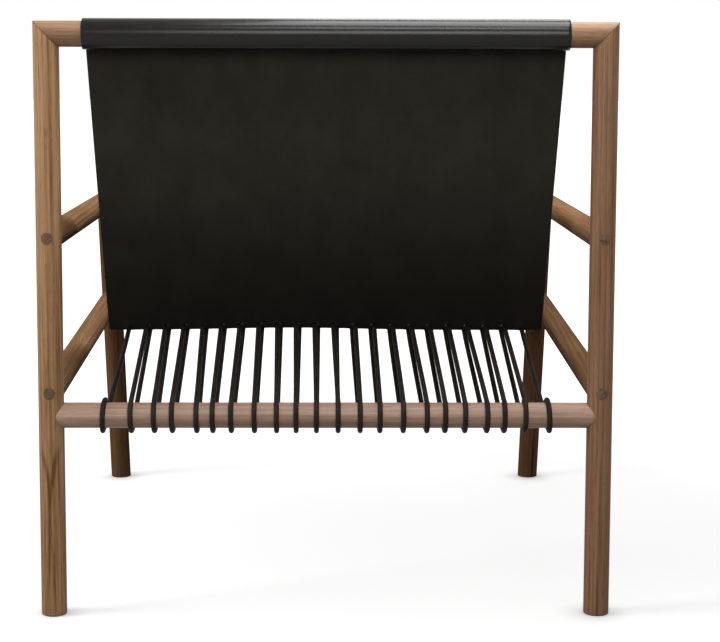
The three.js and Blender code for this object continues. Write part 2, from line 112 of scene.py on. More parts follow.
class Surface:
    """A material's node tree, with short calls that add nodes and join them."""

    def __init__(self, name: str) -> None:
        """Starts a material with one Principled shader.

        Args:
            name: the material's name.
        """
        self.material = bpy.data.materials.new(name)
        self.material.use_nodes = True
        self.tree = self.material.node_tree
        self.tree.nodes.clear()
        self.output = self.node("ShaderNodeOutputMaterial")
        self.shader = self.node("ShaderNodeBsdfPrincipled")
        self.join(self.shader.outputs["BSDF"], self.output.inputs["Surface"])

    def node(self, kind: str, **settings: Any) -> bpy.types.Node:
        """Adds a node and sets its properties.

        Args:
            kind: Blender's name for the node.
            settings: properties of the node, by name.

        Returns:
            The node.
        """
        made = self.tree.nodes.new(kind)
        for name, value in settings.items():
            setattr(made, name, value)
        return made

    def join(self, source: Any, target: Socket) -> None:
        """Feeds a socket from another one, or sets it to a plain value.

        Args:
            source: an output socket, or the value.
            target: the input socket.
        """
        if isinstance(source, bpy.types.NodeSocket):
            self.tree.links.new(source, target)
        else:
            target.default_value = source

    def set(self, **values: Any) -> None:
        """Feeds or sets the shader's own sockets; an underscore in a name stands for a space."""
        for name, value in values.items():
            self.join(value, self.shader.inputs[name.replace("_", " ")])

    def math(self, operation: str, *values: Any) -> Socket:
        """The result of one sum, product or other operation on numbers.

        Args:
            operation: Blender's name for the operation.
            values: numbers or sockets, in order.

        Returns:
            The result.
        """
        made = self.node("ShaderNodeMath", operation=operation)
        for value, socket in zip(values, made.inputs):
            self.join(value, socket)
        return made.outputs["Value"]

    def weighted(self, base: float, *terms: tuple[Any, float]) -> Socket:
        """A base number plus each term times its weight.

        Args:
            base: the number to start from.
            terms: pairs of a value and its weight.

        Returns:
            The sum.
        """
        total: Any = base
        for value, weight in terms:
            total = self.math("MULTIPLY_ADD", value, weight, total)
        return total

    def between(
        self, value: Any, low: float, high: float, out_low: float = 0.0, out_high: float = 1.0,
    ) -> Socket:
        """A number eased from one range into another, and held at its ends.

        Args:
            value: the number.
            low, high: the range that it comes from.
            out_low, out_high: the range that it goes to.

        Returns:
            The eased number.
        """
        made = self.node("ShaderNodeMapRange", interpolation_type="SMOOTHSTEP")
        for socket, number in zip(made.inputs, (value, low, high, out_low, out_high)):
            self.join(number, socket)
        return made.outputs["Result"]

    def split(self, vector: Socket) -> tuple[Socket, Socket, Socket]:
        """The three parts of a vector.

        Args:
            vector: the vector.

        Returns:
            Its parts along X, Y and Z.
        """
        made = self.node("ShaderNodeSeparateXYZ")
        self.join(vector, made.inputs["Vector"])
        return made.outputs["X"], made.outputs["Y"], made.outputs["Z"]

    def vector(self, x: Any, y: Any, z: Any) -> Socket:
        """A vector from its three parts.

        Args:
            x, y, z: the parts.

        Returns:
            The vector.
        """
        made = self.node("ShaderNodeCombineXYZ")
        for value, socket in zip((x, y, z), made.inputs):
            self.join(value, socket)
        return made.outputs["Vector"]

    def stretched(self, vector: Socket, scale: Sequence[float], offset: float = 0.0) -> Socket:
        """A vector times a scale of its own along each axis, moved by the same offset along all.

        Args:
            vector: the vector.
            scale: the scale along X, Y and Z.
            offset: how far it is moved along each axis.

        Returns:
            The new vector.
        """
        made = self.node("ShaderNodeVectorMath", operation="MULTIPLY_ADD")
        self.join(vector, made.inputs[0])
        self.join(tuple(scale), made.inputs[1])
        self.join((offset, offset, offset), made.inputs[2])
        return made.outputs["Vector"]

    def noise(self, vector: Socket, detail: float = 2.0, roughness: float = 0.5) -> bpy.types.Node:
        """A soft cloud of values at the scale of the vector given.

        Args:
            vector: the place, already scaled.
            detail: how many finer clouds lie over the first.
            roughness: how strong the finer clouds are.

        Returns:
            The cloud's node, with a value and a colour.
        """
        made = self.node("ShaderNodeTexNoise")
        self.join(vector, made.inputs["Vector"])
        self.join(1.0, made.inputs["Scale"])
        self.join(detail, made.inputs["Detail"])
        self.join(roughness, made.inputs["Roughness"])
        return made

    def cloud(
        self, place: Socket, scale: Sequence[float], shift: float = 0.0, detail: float = 2.0,
        roughness: float = 0.5,
    ) -> Socket:
        """A soft cloud's value over a piece, from 0 to 1."""
        return self.noise(self.stretched(place, scale, shift), detail, roughness).outputs["Fac"]

    def cells(self, vector: Socket, smoothness: float) -> Socket:
        """Rounded cells at the scale of the vector given.

        Args:
            vector: the place, already scaled.
            smoothness: how softly the cells run together.

        Returns:
            The distance to the middle of the nearest cell.
        """
        made = self.node("ShaderNodeTexVoronoi", feature="SMOOTH_F1")
        self.join(vector, made.inputs["Vector"])
        self.join(1.0, made.inputs["Scale"])
        self.join(smoothness, made.inputs["Smoothness"])
        return made.outputs["Distance"]

    def ramp(self, factor: Socket, stops: Iterable[tuple[float, Colour]]) -> Socket:
        """A colour that passes through the stops given as the factor goes from 0 to 1.

        Args:
            factor: the number that chooses the colour.
            stops: pairs of a factor and its colour, in order.

        Returns:
            The colour.
        """
        made = self.node("ShaderNodeValToRGB")
        self.join(factor, made.inputs["Fac"])
        marks = made.color_ramp.elements
        listed = list(stops)
        while len(marks) < len(listed):
            marks.new(1.0)
        for mark, (place, colour) in zip(marks, listed):
            mark.position = place
            mark.color = colour
        return made.outputs["Color"]

    def darker(self, colour: Socket, amount: Any, shade: Colour) -> Socket:
        """The colour multiplied by a shade.

        Args:
            colour: the colour.
            amount: how much of the shade is taken, from 0 to 1.
            shade: the shade.

        Returns:
            The darker colour.
        """
        made = self.node("ShaderNodeMix", data_type="RGBA", blend_type="MULTIPLY")
        self.join(amount, made.inputs["Factor"])
        self.join(colour, made.inputs["A"])
        self.join(shade, made.inputs["B"])
        return made.outputs["Result"]

    def bump(self, height: Socket, distance: float, strength: float) -> Socket:
        """The normal of a surface whose height follows a value.

        Args:
            height: the value.
            distance: the height in metres for a value of 1.
            strength: how much of it is taken, from 0 to 1.

        Returns:
            The normal.
        """
        made = self.node("ShaderNodeBump")
        self.join(height, made.inputs["Height"])
        self.join(distance, made.inputs["Distance"])
        self.join(strength, made.inputs["Strength"])
        return made.outputs["Normal"]

    def finished(
        self, colour: Socket, roughness: Socket, gloss: float, height: Socket, relief: float, strength: float,
    ) -> bpy.types.Material:
        """Gives the shader its colour, gloss and fine relief.

        Args:
            colour, roughness: what the shader's sockets are fed with.
            gloss: the specular level, the same all over.
            height, relief, strength: the relief, as for a bump.

        Returns:
            The material.
        """
        self.set(
            Base_Color=colour,
            Roughness=roughness,
            Specular_IOR_Level=gloss,
            Normal=self.bump(height, relief, strength),
        )
        return self.material

    def coordinates(self, kind: str) -> Socket:
        """The piece's own place or normal, in its own axes."""
        return self.node("ShaderNodeTexCoord").outputs[kind]


class GrainAxis(Enum):
    """The axis of a piece that the wood's fibres follow, as the order in which its parts are read."""

    X = (1, 2, 0)
    Y = (2, 0, 1)
    Z = (0, 1, 2)


@dataclass(frozen=True)
class WoodTone:
    """The colours that one board of walnut runs through."""

    pale: Colour
    middle: Colour
    dark: Colour


HONEY = WoodTone(screen_colour(181, 147, 109), screen_colour(154, 119, 85), screen_colour(94, 63, 38))
BROWN = WoodTone(screen_colour(146, 114, 84), screen_colour(118, 88, 62), screen_colour(72, 50, 33))
ROSE = WoodTone(screen_colour(147, 113, 88), screen_colour(119, 88, 65), screen_colour(69, 45, 31))
BLUSH = WoodTone(screen_colour(180, 153, 135), screen_colour(151, 123, 103), screen_colour(100, 75, 59))
OAT = WoodTone(screen_colour(154, 124, 98), screen_colour(130, 100, 74), screen_colour(76, 52, 34))
ASH = WoodTone(screen_colour(159, 136, 118), screen_colour(130, 107, 89), screen_colour(76, 58, 45))
# Painted shade: a darker tone for the front legs, which stand in the seat's shadow.
PAINTED_SHADE_UMBER = WoodTone(screen_colour(125, 93, 65), screen_colour(101, 72, 50), screen_colour(63, 42, 27))


@dataclass(frozen=True)
class Flame:
    """A dark mark in the grain: two arms that leave one point and run apart along the piece."""

    apex: float
    middle: float
    reach: float
    spread: float
    width: float
    depth: float
    waver_reach: float = 0.006
    fade_from: float = 0.5
    fade_behind: float = 0.4

    def mark(self, board: Surface, across: Socket, along: Socket, waver: Socket) -> Socket:
        """How far a place lies in the mark, from 0 to 1.

        Args:
            board: the material's nodes.
            across, along: the place across and along the grain.
            waver: a cloud from 0 to 1 that bends the arms.

        Returns:
            The value, full on the arms, and fading where they end and past the apex.
        """
        way = math.copysign(1.0, self.reach)
        length = abs(self.reach)
        ahead = board.weighted(-way * self.apex, (along, way))
        bent = board.weighted(-self.middle - self.waver_reach / 2, (across, 1), (waver, self.waver_reach))
        offset = board.math("ABSOLUTE", bent)
        arm = board.weighted(0.0, (offset, 1), (board.math("MAXIMUM", ahead, 0.0), -self.spread))
        on_arm = board.between(board.math("ABSOLUTE", arm), 0.0, self.width, 1.0, 0.0)
        ending = board.between(ahead, length * self.fade_from, length, 1.0, 0.0)
        starting = board.between(ahead, -length * self.fade_behind, 0.0)
        return board.math("MULTIPLY", on_arm, board.math("MULTIPLY", ending, starting))


@dataclass(frozen=True)
class GrainCloud:
    """A cloud of values drawn out along the grain, by its scales across it and along it."""

    across: float
    along: float
    shift: float
    detail: float

    def value(self, board: Surface, place: Socket, seed: float) -> Socket:
        """The cloud's value at a place whose Z lies along the grain; the seed moves it."""
        return board.cloud(place, (self.across, self.across, self.along), seed + self.shift, self.detail)


BROAD_BANDS = GrainCloud(40, 2.4, 3.1, 3)
RING_PATCHES = GrainCloud(24, 2, 9.4, 1)
DARK_STREAKS = GrainCloud(130, 2.6, 6.2, 2)
FIBRES = GrainCloud(430, 9, 7.7, 5)
FINE_FIBRES = GrainCloud(2300, 70, 1.3, 2)
PORES = GrainCloud(1500, 55, 5.9, 1)
FLAME_WAVER = GrainCloud(90, 12, 2.6, 2)


@dataclass(frozen=True)
class Walnut:
    """Oiled walnut: rings that lean through the piece, fibres along it, dark streaks and short pores."""

    tone: WoodTone = BROWN
    end_shade: Colour = screen_colour(165, 156, 150)
    pore_shade: Colour = screen_colour(120, 96, 80)
    heart: tuple[float, float] = (0.055, 0.03)
    lean: tuple[float, float] = (0.012, -0.008)
    ring_width: float = 0.0062
    ring_depth: float = 0.2
    ring_rise: tuple[float, float] = (0.15, 0.8)
    ring_patch: tuple[float, float, float, float] = (0.36, 0.62, 0.2, 1.0)
    wander: float = 0.013
    wander_scale: tuple[float, float, float] = (16, 16, 2.4)
    broad_depth: float = 0.85
    streak_depth: float = 0.36
    streak_range: tuple[float, float] = (0.6, 0.74)
    fibre_depth: float = 0.85
    fine_depth: float = 0.4
    pore_depth: float = 0.4
    pore_range: tuple[float, float] = (0.61, 0.7)
    end_grain_range: tuple[float, float] = (0.55, 0.9)
    # Darker towards the foot: partly the board's own tone, partly painted shade for the light that falls off
    # towards the floor.
    foot_tone_and_shade_depth: float = 0.0
    foot_tone_and_shade_reach: float = 0.6
    flames: tuple[Flame, ...] = ()
    roughness: float = 0.44
    fibre_roughness: float = 0.2
    end_roughness: float = 0.12
    gloss: float = 0.03
    relief: float = 0.00012
    relief_strength: float = 0.5
    seed: float = 0.0
    axis: GrainAxis = GrainAxis.Z

    def material(self, name: str) -> bpy.types.Material:
        """Makes the wood for one piece.

        Args:
            name: the material's name.

        Returns:
            The material, with its grain along the piece's own axis.
        """
        board = Surface(name)
        parts = board.split(board.coordinates("Object"))
        x, y, along = (parts[index] for index in self.axis.value)
        place = board.vector(x, y, along)
        broad, patches, dark, fibre, fine, holes = (
            cloud.value(board, place, self.seed)
            for cloud in (BROAD_BANDS, RING_PATCHES, DARK_STREAKS, FIBRES, FINE_FIBRES, PORES))
        rings = board.math(
            "MULTIPLY", self.late_wood(board, x, y, along), board.between(patches, *self.ring_patch))
        streaks = board.between(dark, *self.streak_range)
        pores = board.between(holes, *self.pore_range)
        # At this level the wood has its middle tone where all clouds are at their mean.
        level = 0.5 - (self.broad_depth + self.fibre_depth + self.fine_depth) / 2 + self.ring_depth / 4
        # Darker towards the foot: partly the board's own tone, partly painted shade for the light that falls
        # off towards the floor.
        low = board.between(along, 0.0, self.foot_tone_and_shade_reach, 1.0, 0.0)
        marks = [
            (flame.mark(board, x, along, FLAME_WAVER.value(board, place, self.seed)), -flame.depth)
            for flame in self.flames
        ]
        value = board.weighted(
            level, (broad, self.broad_depth), (rings, -self.ring_depth), (streaks, -self.streak_depth),
            (fibre, self.fibre_depth), (fine, self.fine_depth), (low, -self.foot_tone_and_shade_depth), *marks)
        colour = board.ramp(value, ((0.0, self.tone.dark), (0.5, self.tone.middle), (1.0, self.tone.pale)))
        colour = board.darker(colour, board.math("MULTIPLY", pores, self.pore_depth), self.pore_shade)
        normals = board.split(board.coordinates("Normal"))
        facing = board.math("ABSOLUTE", normals[self.axis.value[2]])
        end_grain = board.between(facing, *self.end_grain_range)
        colour = board.darker(colour, end_grain, self.end_shade)
        roughness = board.weighted(
            self.roughness, (fibre, self.fibre_roughness), (end_grain, self.end_roughness))
        height = board.weighted(0.0, (fibre, 0.5), (fine, 0.3), (pores, -0.8))
        return board.finished(colour, roughness, self.gloss, height, self.relief, self.relief_strength)

    def late_wood(self, board: Surface, x: Socket, y: Socket, along: Socket) -> Socket:
        """How far a place lies in the dark outer part of its growth ring, from 0 to 1.

        Args:
            board: the material's nodes.
            x, y: the place across the grain.
            along: the place along the grain.

        Returns:
            The value; rings lie round a heart beside the piece, which wanders and leans along it.
        """
        place = board.stretched(board.vector(x, y, along), self.wander_scale, self.seed)
        warp_x, warp_y, _ = board.split(board.noise(place).outputs["Color"])
        squares = []
        for across, warp, heart, lean in zip((x, y), (warp_x, warp_y), self.heart, self.lean):
            offset = board.weighted(-heart - self.wander / 2, (across, 1), (along, lean), (warp, self.wander))
            squares.append(board.math("MULTIPLY", offset, offset))
        radius = board.math("SQRT", board.math("ADD", *squares))
        ring = board.math("FRACT", board.math("DIVIDE", radius, self.ring_width))
        start, full = self.ring_rise
        fading = board.between(ring, full, 1.0, 1.0, 0.0)
        return board.math("MULTIPLY", board.between(ring, start, full), fading)


@dataclass(frozen=True)
class GrainSideLeather:
    """The leather's smooth side: black, with a fine pebble, soft gloss and faint long creases."""

    pale: Colour = screen_colour(17, 14, 11)
    dark: Colour = screen_colour(9, 8, 6)
    pebble: float = 1150.0
    pebble_smoothness: float = 0.35
    patch_scale: float = 26.0
    crease_scale: tuple[float, float, float] = (6, 230, 230)
    roughness: float = 0.17
    gloss: float = 0.19
    relief: float = 0.0002
    relief_strength: float = 0.4

    def material(self, name: str) -> bpy.types.Material:
        """Makes the smooth side.

        Args:
            name: the material's name.

        Returns:
            The material.
        """
        board = Surface(name)
        place = board.coordinates("Object")
        cells = board.cells(board.stretched(place, (self.pebble,) * 3), self.pebble_smoothness)
        patches = board.cloud(place, (self.patch_scale,) * 3, detail=4)
        crease = board.cloud(place, self.crease_scale, 2.0, detail=4, roughness=0.6)
        shade = board.weighted(-0.1, (patches, 0.8), (cells, 0.4))
        colour = board.ramp(shade, ((0.2, self.dark), (0.8, self.pale)))
        roughness = board.weighted(self.roughness - 0.08, (patches, 0.12), (cells, 0.12))
        height = board.weighted(0.0, (cells, 0.4), (crease, 1.0))
        return board.finished(colour, roughness, self.gloss, height, self.relief, self.relief_strength)


@dataclass(frozen=True)
class FleshSideLeather:
    """The leather's rough side: warm black, matte, with short fibres, cloudy patches and painted shade towards
    the crease.
    """

    pale: Colour = screen_colour(60, 58, 51)
    dark: Colour = screen_colour(39, 38, 32)
    # Painted shade: the multiplier, and the heights where it is full at the crease and where it has faded out.
    painted_crease_shade: Colour = screen_colour(150, 150, 150)
    crease_height: float = 0.33
    painted_shade_top: float = 0.62
    patch_scale: tuple[float, float, float] = (24, 24, 13)
    fibre_scale: tuple[float, float, float] = (900, 900, 540)
    roughness: float = 0.82
    fibre_roughness: float = 0.16
    gloss: float = 0.05
    relief: float = 0.0003
    relief_strength: float = 0.5

    def material(self, name: str) -> bpy.types.Material:
        """Makes the rough side.

        Args:
            name: the material's name.

        Returns:
            The material, darkened towards the crease by painted shade.
        """
        board = Surface(name)
        place = board.coordinates("Object")
        patches = board.cloud(place, self.patch_scale, detail=4)
        fibres = board.cloud(place, self.fibre_scale, 4.0, detail=5, roughness=0.65)
        shade = board.weighted(-0.35, (patches, 0.7), (fibres, 1.0))
        colour = board.ramp(shade, ((0.1, self.dark), (0.9, self.pale)))
        # Painted shade: the colour darkens down the back to the crease, for the light that falls off there.
        low = board.between(board.split(place)[2], self.crease_height, self.painted_shade_top, 1.0, 0.0)
        colour = board.darker(colour, low, self.painted_crease_shade)
        roughness = board.weighted(self.roughness, (fibres, self.fibre_roughness))
        return board.finished(colour, roughness, self.gloss, fibres, self.relief, self.relief_strength)


@dataclass(frozen=True)
class CutEdge:
    """The leather's cut edge: dyed black, a little brown where the core shows through."""

    dye: Colour = screen_colour(24, 22, 20)
    core: Colour = screen_colour(46, 37, 31)
    layer_scale: float = 260.0
    roughness: float = 0.5
    layer_roughness: float = 0.3
    gloss: float = 0.08
    relief: float = 0.0002
    relief_strength: float = 0.4

    def material(self, name: str) -> bpy.types.Material:
        """Makes the cut edge.

        Args:
            name: the material's name.

        Returns:
            The material.
        """
        board = Surface(name)
        place = board.coordinates("Object")
        layers = board.cloud(place, (self.layer_scale,) * 3, detail=5, roughness=0.7)
        colour = board.ramp(layers, ((0.45, self.dye), (0.85, self.core)))
        roughness = board.weighted(self.roughness, (layers, self.layer_roughness))
        return board.finished(colour, roughness, self.gloss, layers, self.relief, self.relief_strength)


@dataclass(frozen=True)
class BlackBraid:
    """A tight black braid: two sets of yarns that wind round the cord against each other, with painted shade
    inside the crease.
    """

    pale: Colour = screen_colour(48, 42, 37)
    dark: Colour = screen_colour(17, 15, 13)
    # Painted shade on the strands inside the leather's crease, and the span along Y where it comes in.
    painted_crease_shade: Colour = screen_colour(90, 90, 90)
    crease_reach: tuple[float, float] = (-0.17, -0.145)
    yarns: int = 8
    pitch: float = 0.0055
    fuzz_scale: float = 1800.0
    wear_scale: float = 60.0
    roughness: float = 0.5
    fuzz_roughness: float = 0.2
    crease_roughness: float = 0.25
    gloss: float = 0.06
    relief: float = 0.0003
    relief_strength: float = 0.7
    uv_map: str = "braid"

    def material(self, name: str) -> bpy.types.Material:
        """Makes the braid.

        Args:
            name: the material's name.

        Returns:
            The material, darkened inside the crease by painted shade.
        """
        board = Surface(name)
        mapping = board.node("ShaderNodeUVMap", uv_map=self.uv_map)
        around, along, _ = board.split(mapping.outputs["UV"])
        turn = 2 * math.pi
        winds = []
        for sign in (1, -1):
            phase = board.weighted(0.0, (around, turn * self.yarns), (along, sign * turn / self.pitch))
            winds.append((board.math("SINE", phase), 0.25))
        weave = board.weighted(0.5, *winds)
        place = board.coordinates("Object")
        fuzz = board.cloud(place, (self.fuzz_scale,) * 3, detail=3)
        worn = board.cloud(place, (self.wear_scale,) * 3, 1.0)
        shade = board.weighted(-0.45, (weave, 0.55), (fuzz, 0.5), (worn, 0.8))
        colour = board.ramp(shade, ((0.1, self.dark), (0.9, self.pale)))
        # Painted shade: the strands darken where they enter the leather's crease, as if in its shadow; the
        # roughness rises there too.
        crease_with_painted_shade = board.between(board.split(place)[1], *self.crease_reach)
        colour = board.darker(colour, crease_with_painted_shade, self.painted_crease_shade)
        roughness = board.weighted(
            self.roughness, (fuzz, self.fuzz_roughness), (crease_with_painted_shade, self.crease_roughness))
        height = board.weighted(0.0, (weave, 1.0), (fuzz, 0.25))
        return board.finished(colour, roughness, self.gloss, height, self.relief, self.relief_strength)


def placed_mesh(
    name: str,
    points: Points | Sequence[Sequence[float]],
    faces: Sequence[Sequence[int]],
    smooth_below: float = SMOOTH_BELOW,
) -> bpy.types.Object:
    """An object made from points and faces, smooth but for its sharp edges.

    Args:
        name: the object's name.
        points: corners, in metres.
        faces: corner numbers of each face, counter-clockwise seen from outside.
        smooth_below: edges that turn less than this angle, in degrees, are shaded smooth.

    Returns:
        The object, linked to the scene.
    """
    mesh = bpy.data.meshes.new(name)
    mesh.from_pydata(np.asarray(points).tolist(), [], faces)
    mesh.validate()
    soften(mesh, smooth_below)
    made = bpy.data.objects.new(name, mesh)
    bpy.context.scene.collection.objects.link(made)
    return made


def soften(mesh: bpy.types.Mesh, smooth_below: float) -> None:
    """Shades a mesh smooth but for edges that turn by more than an angle in degrees."""
    mesh.shade_smooth()
    mesh.set_sharp_from_angle(angle=math.radians(smooth_below))


def loft_faces(ring_count: int, sides: int) -> list[list[int]]:
    """The faces of a closed skin over rings of equal count, with one point at each end.

    Args:
        ring_count: how many rings there are between the end points.
        sides: how many points each ring has.

    Returns:
        The faces; point 0 is the first end, the rings follow, and the last point is the other end.
    """
    def corner(ring: int, side: int) -> int:
        """The number of a ring's point, counted on past the last side to the first."""
        return 1 + ring * sides + side % sides

    last = 1 + ring_count * sides
    faces = [[0, corner(0, side + 1), corner(0, side)] for side in range(sides)]
    for ring in range(ring_count - 1):
        for side in range(sides):
            near = [corner(ring, side), corner(ring, side + 1)]
            faces.append(near + [corner(ring + 1, side + 1), corner(ring + 1, side)])
    final = ring_count - 1
    faces.extend([corner(final, side), corner(final, side + 1), last] for side in range(sides))
    return faces


def cut_away(piece: bpy.types.Object, cutter: bpy.types.Object) -> None:
    """Cuts a closed mesh out of a piece, for good.

    Args:
        piece: the object that is cut.
        cutter: the object that is cut out of it; it stays in the scene.
    """
    modifier = piece.modifiers.new("cut", "BOOLEAN")
    modifier.operation = "DIFFERENCE"
    modifier.solver = "EXACT"
    modifier.object = cutter
    bpy.context.view_layer.update()
    shaped = piece.evaluated_get(bpy.context.evaluated_depsgraph_get())
    mesh = bpy.data.meshes.new_from_object(shaped)
    piece.modifiers.clear()
    spent = piece.data
    piece.data = mesh
    bpy.data.meshes.remove(spent)
    soften(mesh, CUT_SMOOTH_BELOW)


def remove(piece: bpy.types.Object) -> None:
    """Takes a helper object and its mesh out of the file.

    Args:
        piece: the object, which nothing uses any more.
    """
    mesh = piece.data
    bpy.data.objects.remove(piece)
    bpy.data.meshes.remove(mesh)


def set_materials(piece: bpy.types.Object, materials: Sequence[bpy.types.Material]) -> None:
    """Gives a piece its materials, in the place of those that it has.

    Args:
        piece: the object.
        materials: its materials, in the order of its faces' numbers.
    """
    piece.data.materials.clear()
    for material in materials:
        piece.data.materials.append(material)


def dress(piece: bpy.types.Object, materials: Sequence[bpy.types.Material], slot: str, *nodes: str) -> None:
    """Gives a piece its materials and its place in the part.

    Args:
        piece: the object.
        materials: its materials, in the order of its faces' numbers.
        slot: the record's material slot; not used.
        nodes: the solids that it stands for.
    """
    set_materials(piece, materials)
    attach(piece, BODY)
    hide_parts(*nodes)
    LOG.info("%s stands for %s, %d faces", piece.name, ", ".join(nodes), len(piece.data.polygons))


@dataclass(frozen=True)
class FrameSizes:
    """The wooden frame's sizes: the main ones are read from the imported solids, and the others are given."""

    radius: float
    half_spacing: float
    post_y: float
    top_height: float
    arm_height: float
    foot_y: float
    rear_rail: tuple[float, float]
    front_rail: tuple[float, float]
    seat_rear_height: float = 0.286
    seat_drop_at_leg: float = 0.043
    joint_gap: float = 0.0003
    pin_radius: float = 0.0075
    pin_depth_in_rail: float = 0.040
    tip_trim: float = 0.006

    @classmethod
    def measured(cls, record: dict[str, Any]) -> "FrameSizes":
        """Reads the sizes from the frame.

        Args:
            record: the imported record, whose mounts give the feet.

        Returns:
            The sizes, in metres.
        """
        def middle(node: str) -> Vector:
            """The middle of a node's box."""
            low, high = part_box(node)
            return (low + high) / 2

        low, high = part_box("rear_post_right")
        feet = {mount["name"]: mount["pos_m"] for mount in record["mounts"]}
        rear, front = middle("rear_rail"), middle("front_rail")
        return cls(
            radius=(high.x - low.x) / 2,
            half_spacing=middle("rear_post_right").x,
            post_y=middle("rear_post_right").y,
            top_height=middle("top_rail").z,
            arm_height=middle("arm_right").z,
            foot_y=feet["foot_front_right"][1],
            rear_rail=(rear.y, rear.z),
            front_rail=(front.y, front.z),
        )

    @property
    def rake(self) -> float:
        """The front legs' angle from the vertical."""
        return math.atan2(self.foot_y - self.front_rail[0], self.front_rail[1])

    @property
    def leg_up(self) -> Vector:
        """The direction of a front leg, from its foot to the arm."""
        return Vector((0, -math.sin(self.rake), math.cos(self.rake)))

    def leg_point(self, x: float, height: float) -> Vector:
        """The point of a front leg's axis at a height."""
        return Vector((x, self.foot_y - height * math.tan(self.rake), height))


@dataclass(frozen=True)
class PlaneCut:
    """A dowel's end that lies in a plane: a mitre or a foot."""

    point: Vector
    normal: Vector

    def reach(self, to_local: Matrix, x: Points, y: Points, sign: int) -> Points:
        """How far along the dowel each of its fibres runs.

        Args:
            to_local: from the row frame to the dowel's own axes.
            x, y: the fibres' places across the dowel.
            sign: 1 at the dowel's far end, -1 at its start; not used here.

        Returns:
            The place of the end along the dowel, for each fibre.
        """
        point = to_local @ self.point
        normal = to_local.to_3x3() @ self.normal
        return point.z - ((x - point.x) * normal.x + (y - point.y) * normal.y) / normal.z


@dataclass(frozen=True)
class SaddleCut:
    """A dowel's end that is fish-mouthed on a round upright, with its thin tips trimmed."""

    axis_point: Vector
    axis: Vector
    radius: float
    tip_trim: float = 0.0

    def reach(self, to_local: Matrix, x: Points, y: Points, sign: int) -> Points:
        """How far along the dowel each of its fibres runs.

        Args:
            to_local: from the row frame to the dowel's own axes.
            x, y: the fibres' places across the dowel.
            sign: 1 at the dowel's far end, -1 at its start.

        Returns:
            The place of the end along the dowel, for each fibre.
        """
        point = np.array(to_local @ self.axis_point)
        axis = np.array((to_local.to_3x3() @ self.axis).normalized())
        step = np.array((0.0, 0.0, 1.0))
        step = step - step @ axis * axis
        base = np.stack([x, y, np.zeros_like(x)], axis=-1) - point
        base = base - (base @ axis)[..., None] * axis
        middle = -(base @ step) / (step @ step)
        inside = middle ** 2 - ((base ** 2).sum(-1) - self.radius ** 2) / (step @ step)
        half = np.maximum(np.sqrt(np.maximum(inside, 0.0)), self.tip_trim)
        return middle - sign * half


@dataclass(frozen=True)
class FlushCut(SaddleCut):
    """A pin's outer end, dressed to the far face of the upright that it passes through."""

    def reach(self, to_local: Matrix, x: Points, y: Points, sign: int) -> Points:
        """How far along the pin each of its fibres runs, to the face on the pin's outer side."""
        return super().reach(to_local, x, y, -sign)


@dataclass(frozen=True)
class Dowel:
    """One round bar of the frame: its axis, the cuts at its ends and how far their edges are eased."""

    node: str
    origin: Vector
    axis: Vector
    start_cut: PlaneCut | SaddleCut
    end_cut: PlaneCut | SaddleCut
    radius: float
    finish: Walnut
    start_ease: float = 0.0003
    end_ease: float = 0.0003
    sides: int = 96
    stations: int = 40
    ease_steps: int = 4
    cap_rings: tuple[float, ...] = (0.4, 0.75, 0.93)

    def axes(self) -> Matrix:
        """The dowel's own axes, with Z along its length.

        Returns:
            The matrix from the dowel's own axes to the row frame.
        """
        along = self.axis.normalized()
        hint = Vector((1, 0, 0)) if abs(along.x) < 0.9 else Vector((0, 1, 0))
        across = (hint - hint.dot(along) * along).normalized()
        other = along.cross(across)
        turned = Matrix((across, other, along)).transposed().to_4x4()
        return Matrix.Translation(self.origin) @ turned

    def ring(self, cut: PlaneCut | SaddleCut, sign: int, share: float, setback: float) -> Points:
        """One ring of the skin near an end.

        Args:
            cut: that end's cut.
            sign: 1 at the far end, -1 at the start.
            share: the ring's radius as a share of the dowel's.
            setback: how far the ring lies behind the cut.

        Returns:
            The ring's points in the dowel's own axes.
        """
        angles = np.linspace(0, 2 * math.pi, self.sides, endpoint=False)
        x = self.radius * share * np.cos(angles)
        y = self.radius * share * np.sin(angles)
        along = cut.reach(self.axes().inverted(), x, y, sign) - sign * setback
        return np.stack([x, y, along], axis=-1)

    def end_rings(self, cut: PlaneCut | SaddleCut, sign: int, ease: float) -> list[Points]:
        """The rings of one end.

        Args:
            cut: that end's cut.
            sign: 1 at the far end, -1 at the start.
            ease: how far the end's edge is rounded.

        Returns:
            The rings, from the end's middle out to the round of the dowel.
        """
        rim = 1 - ease / self.radius
        rings = [self.ring(cut, sign, share * rim, 0.0) for share in self.cap_rings]
        for step in range(self.ease_steps + 1):
            angle = step / self.ease_steps * math.pi / 2
            share = 1 - ease * (1 - math.sin(angle)) / self.radius
            rings.append(self.ring(cut, sign, share, ease * (1 - math.cos(angle))))
        return rings

    def build(self) -> bpy.types.Object:
        """Makes the dowel.

        Returns:
            The object, with its fibres along its own Z axis.
        """
        start = self.end_rings(self.start_cut, -1, self.start_ease)
        end = self.end_rings(self.end_cut, 1, self.end_ease)[::-1]
        shares = np.linspace(0, 1, self.stations + 1)[1:-1]
        body = [start[-1] + (end[0] - start[-1]) * share for share in shares]
        rings = start + body + end
        tips = [
            [[0.0, 0.0, float(cut.reach(self.axes().inverted(), np.zeros(1), np.zeros(1), sign)[0])]]
            for cut, sign in ((self.start_cut, -1), (self.end_cut, 1))
        ]
        points = np.concatenate([tips[0], *rings, tips[1]])
        made = placed_mesh(f"walnut_{self.node}", points, loft_faces(len(rings), self.sides))
        made.matrix_world = self.axes()
        return made


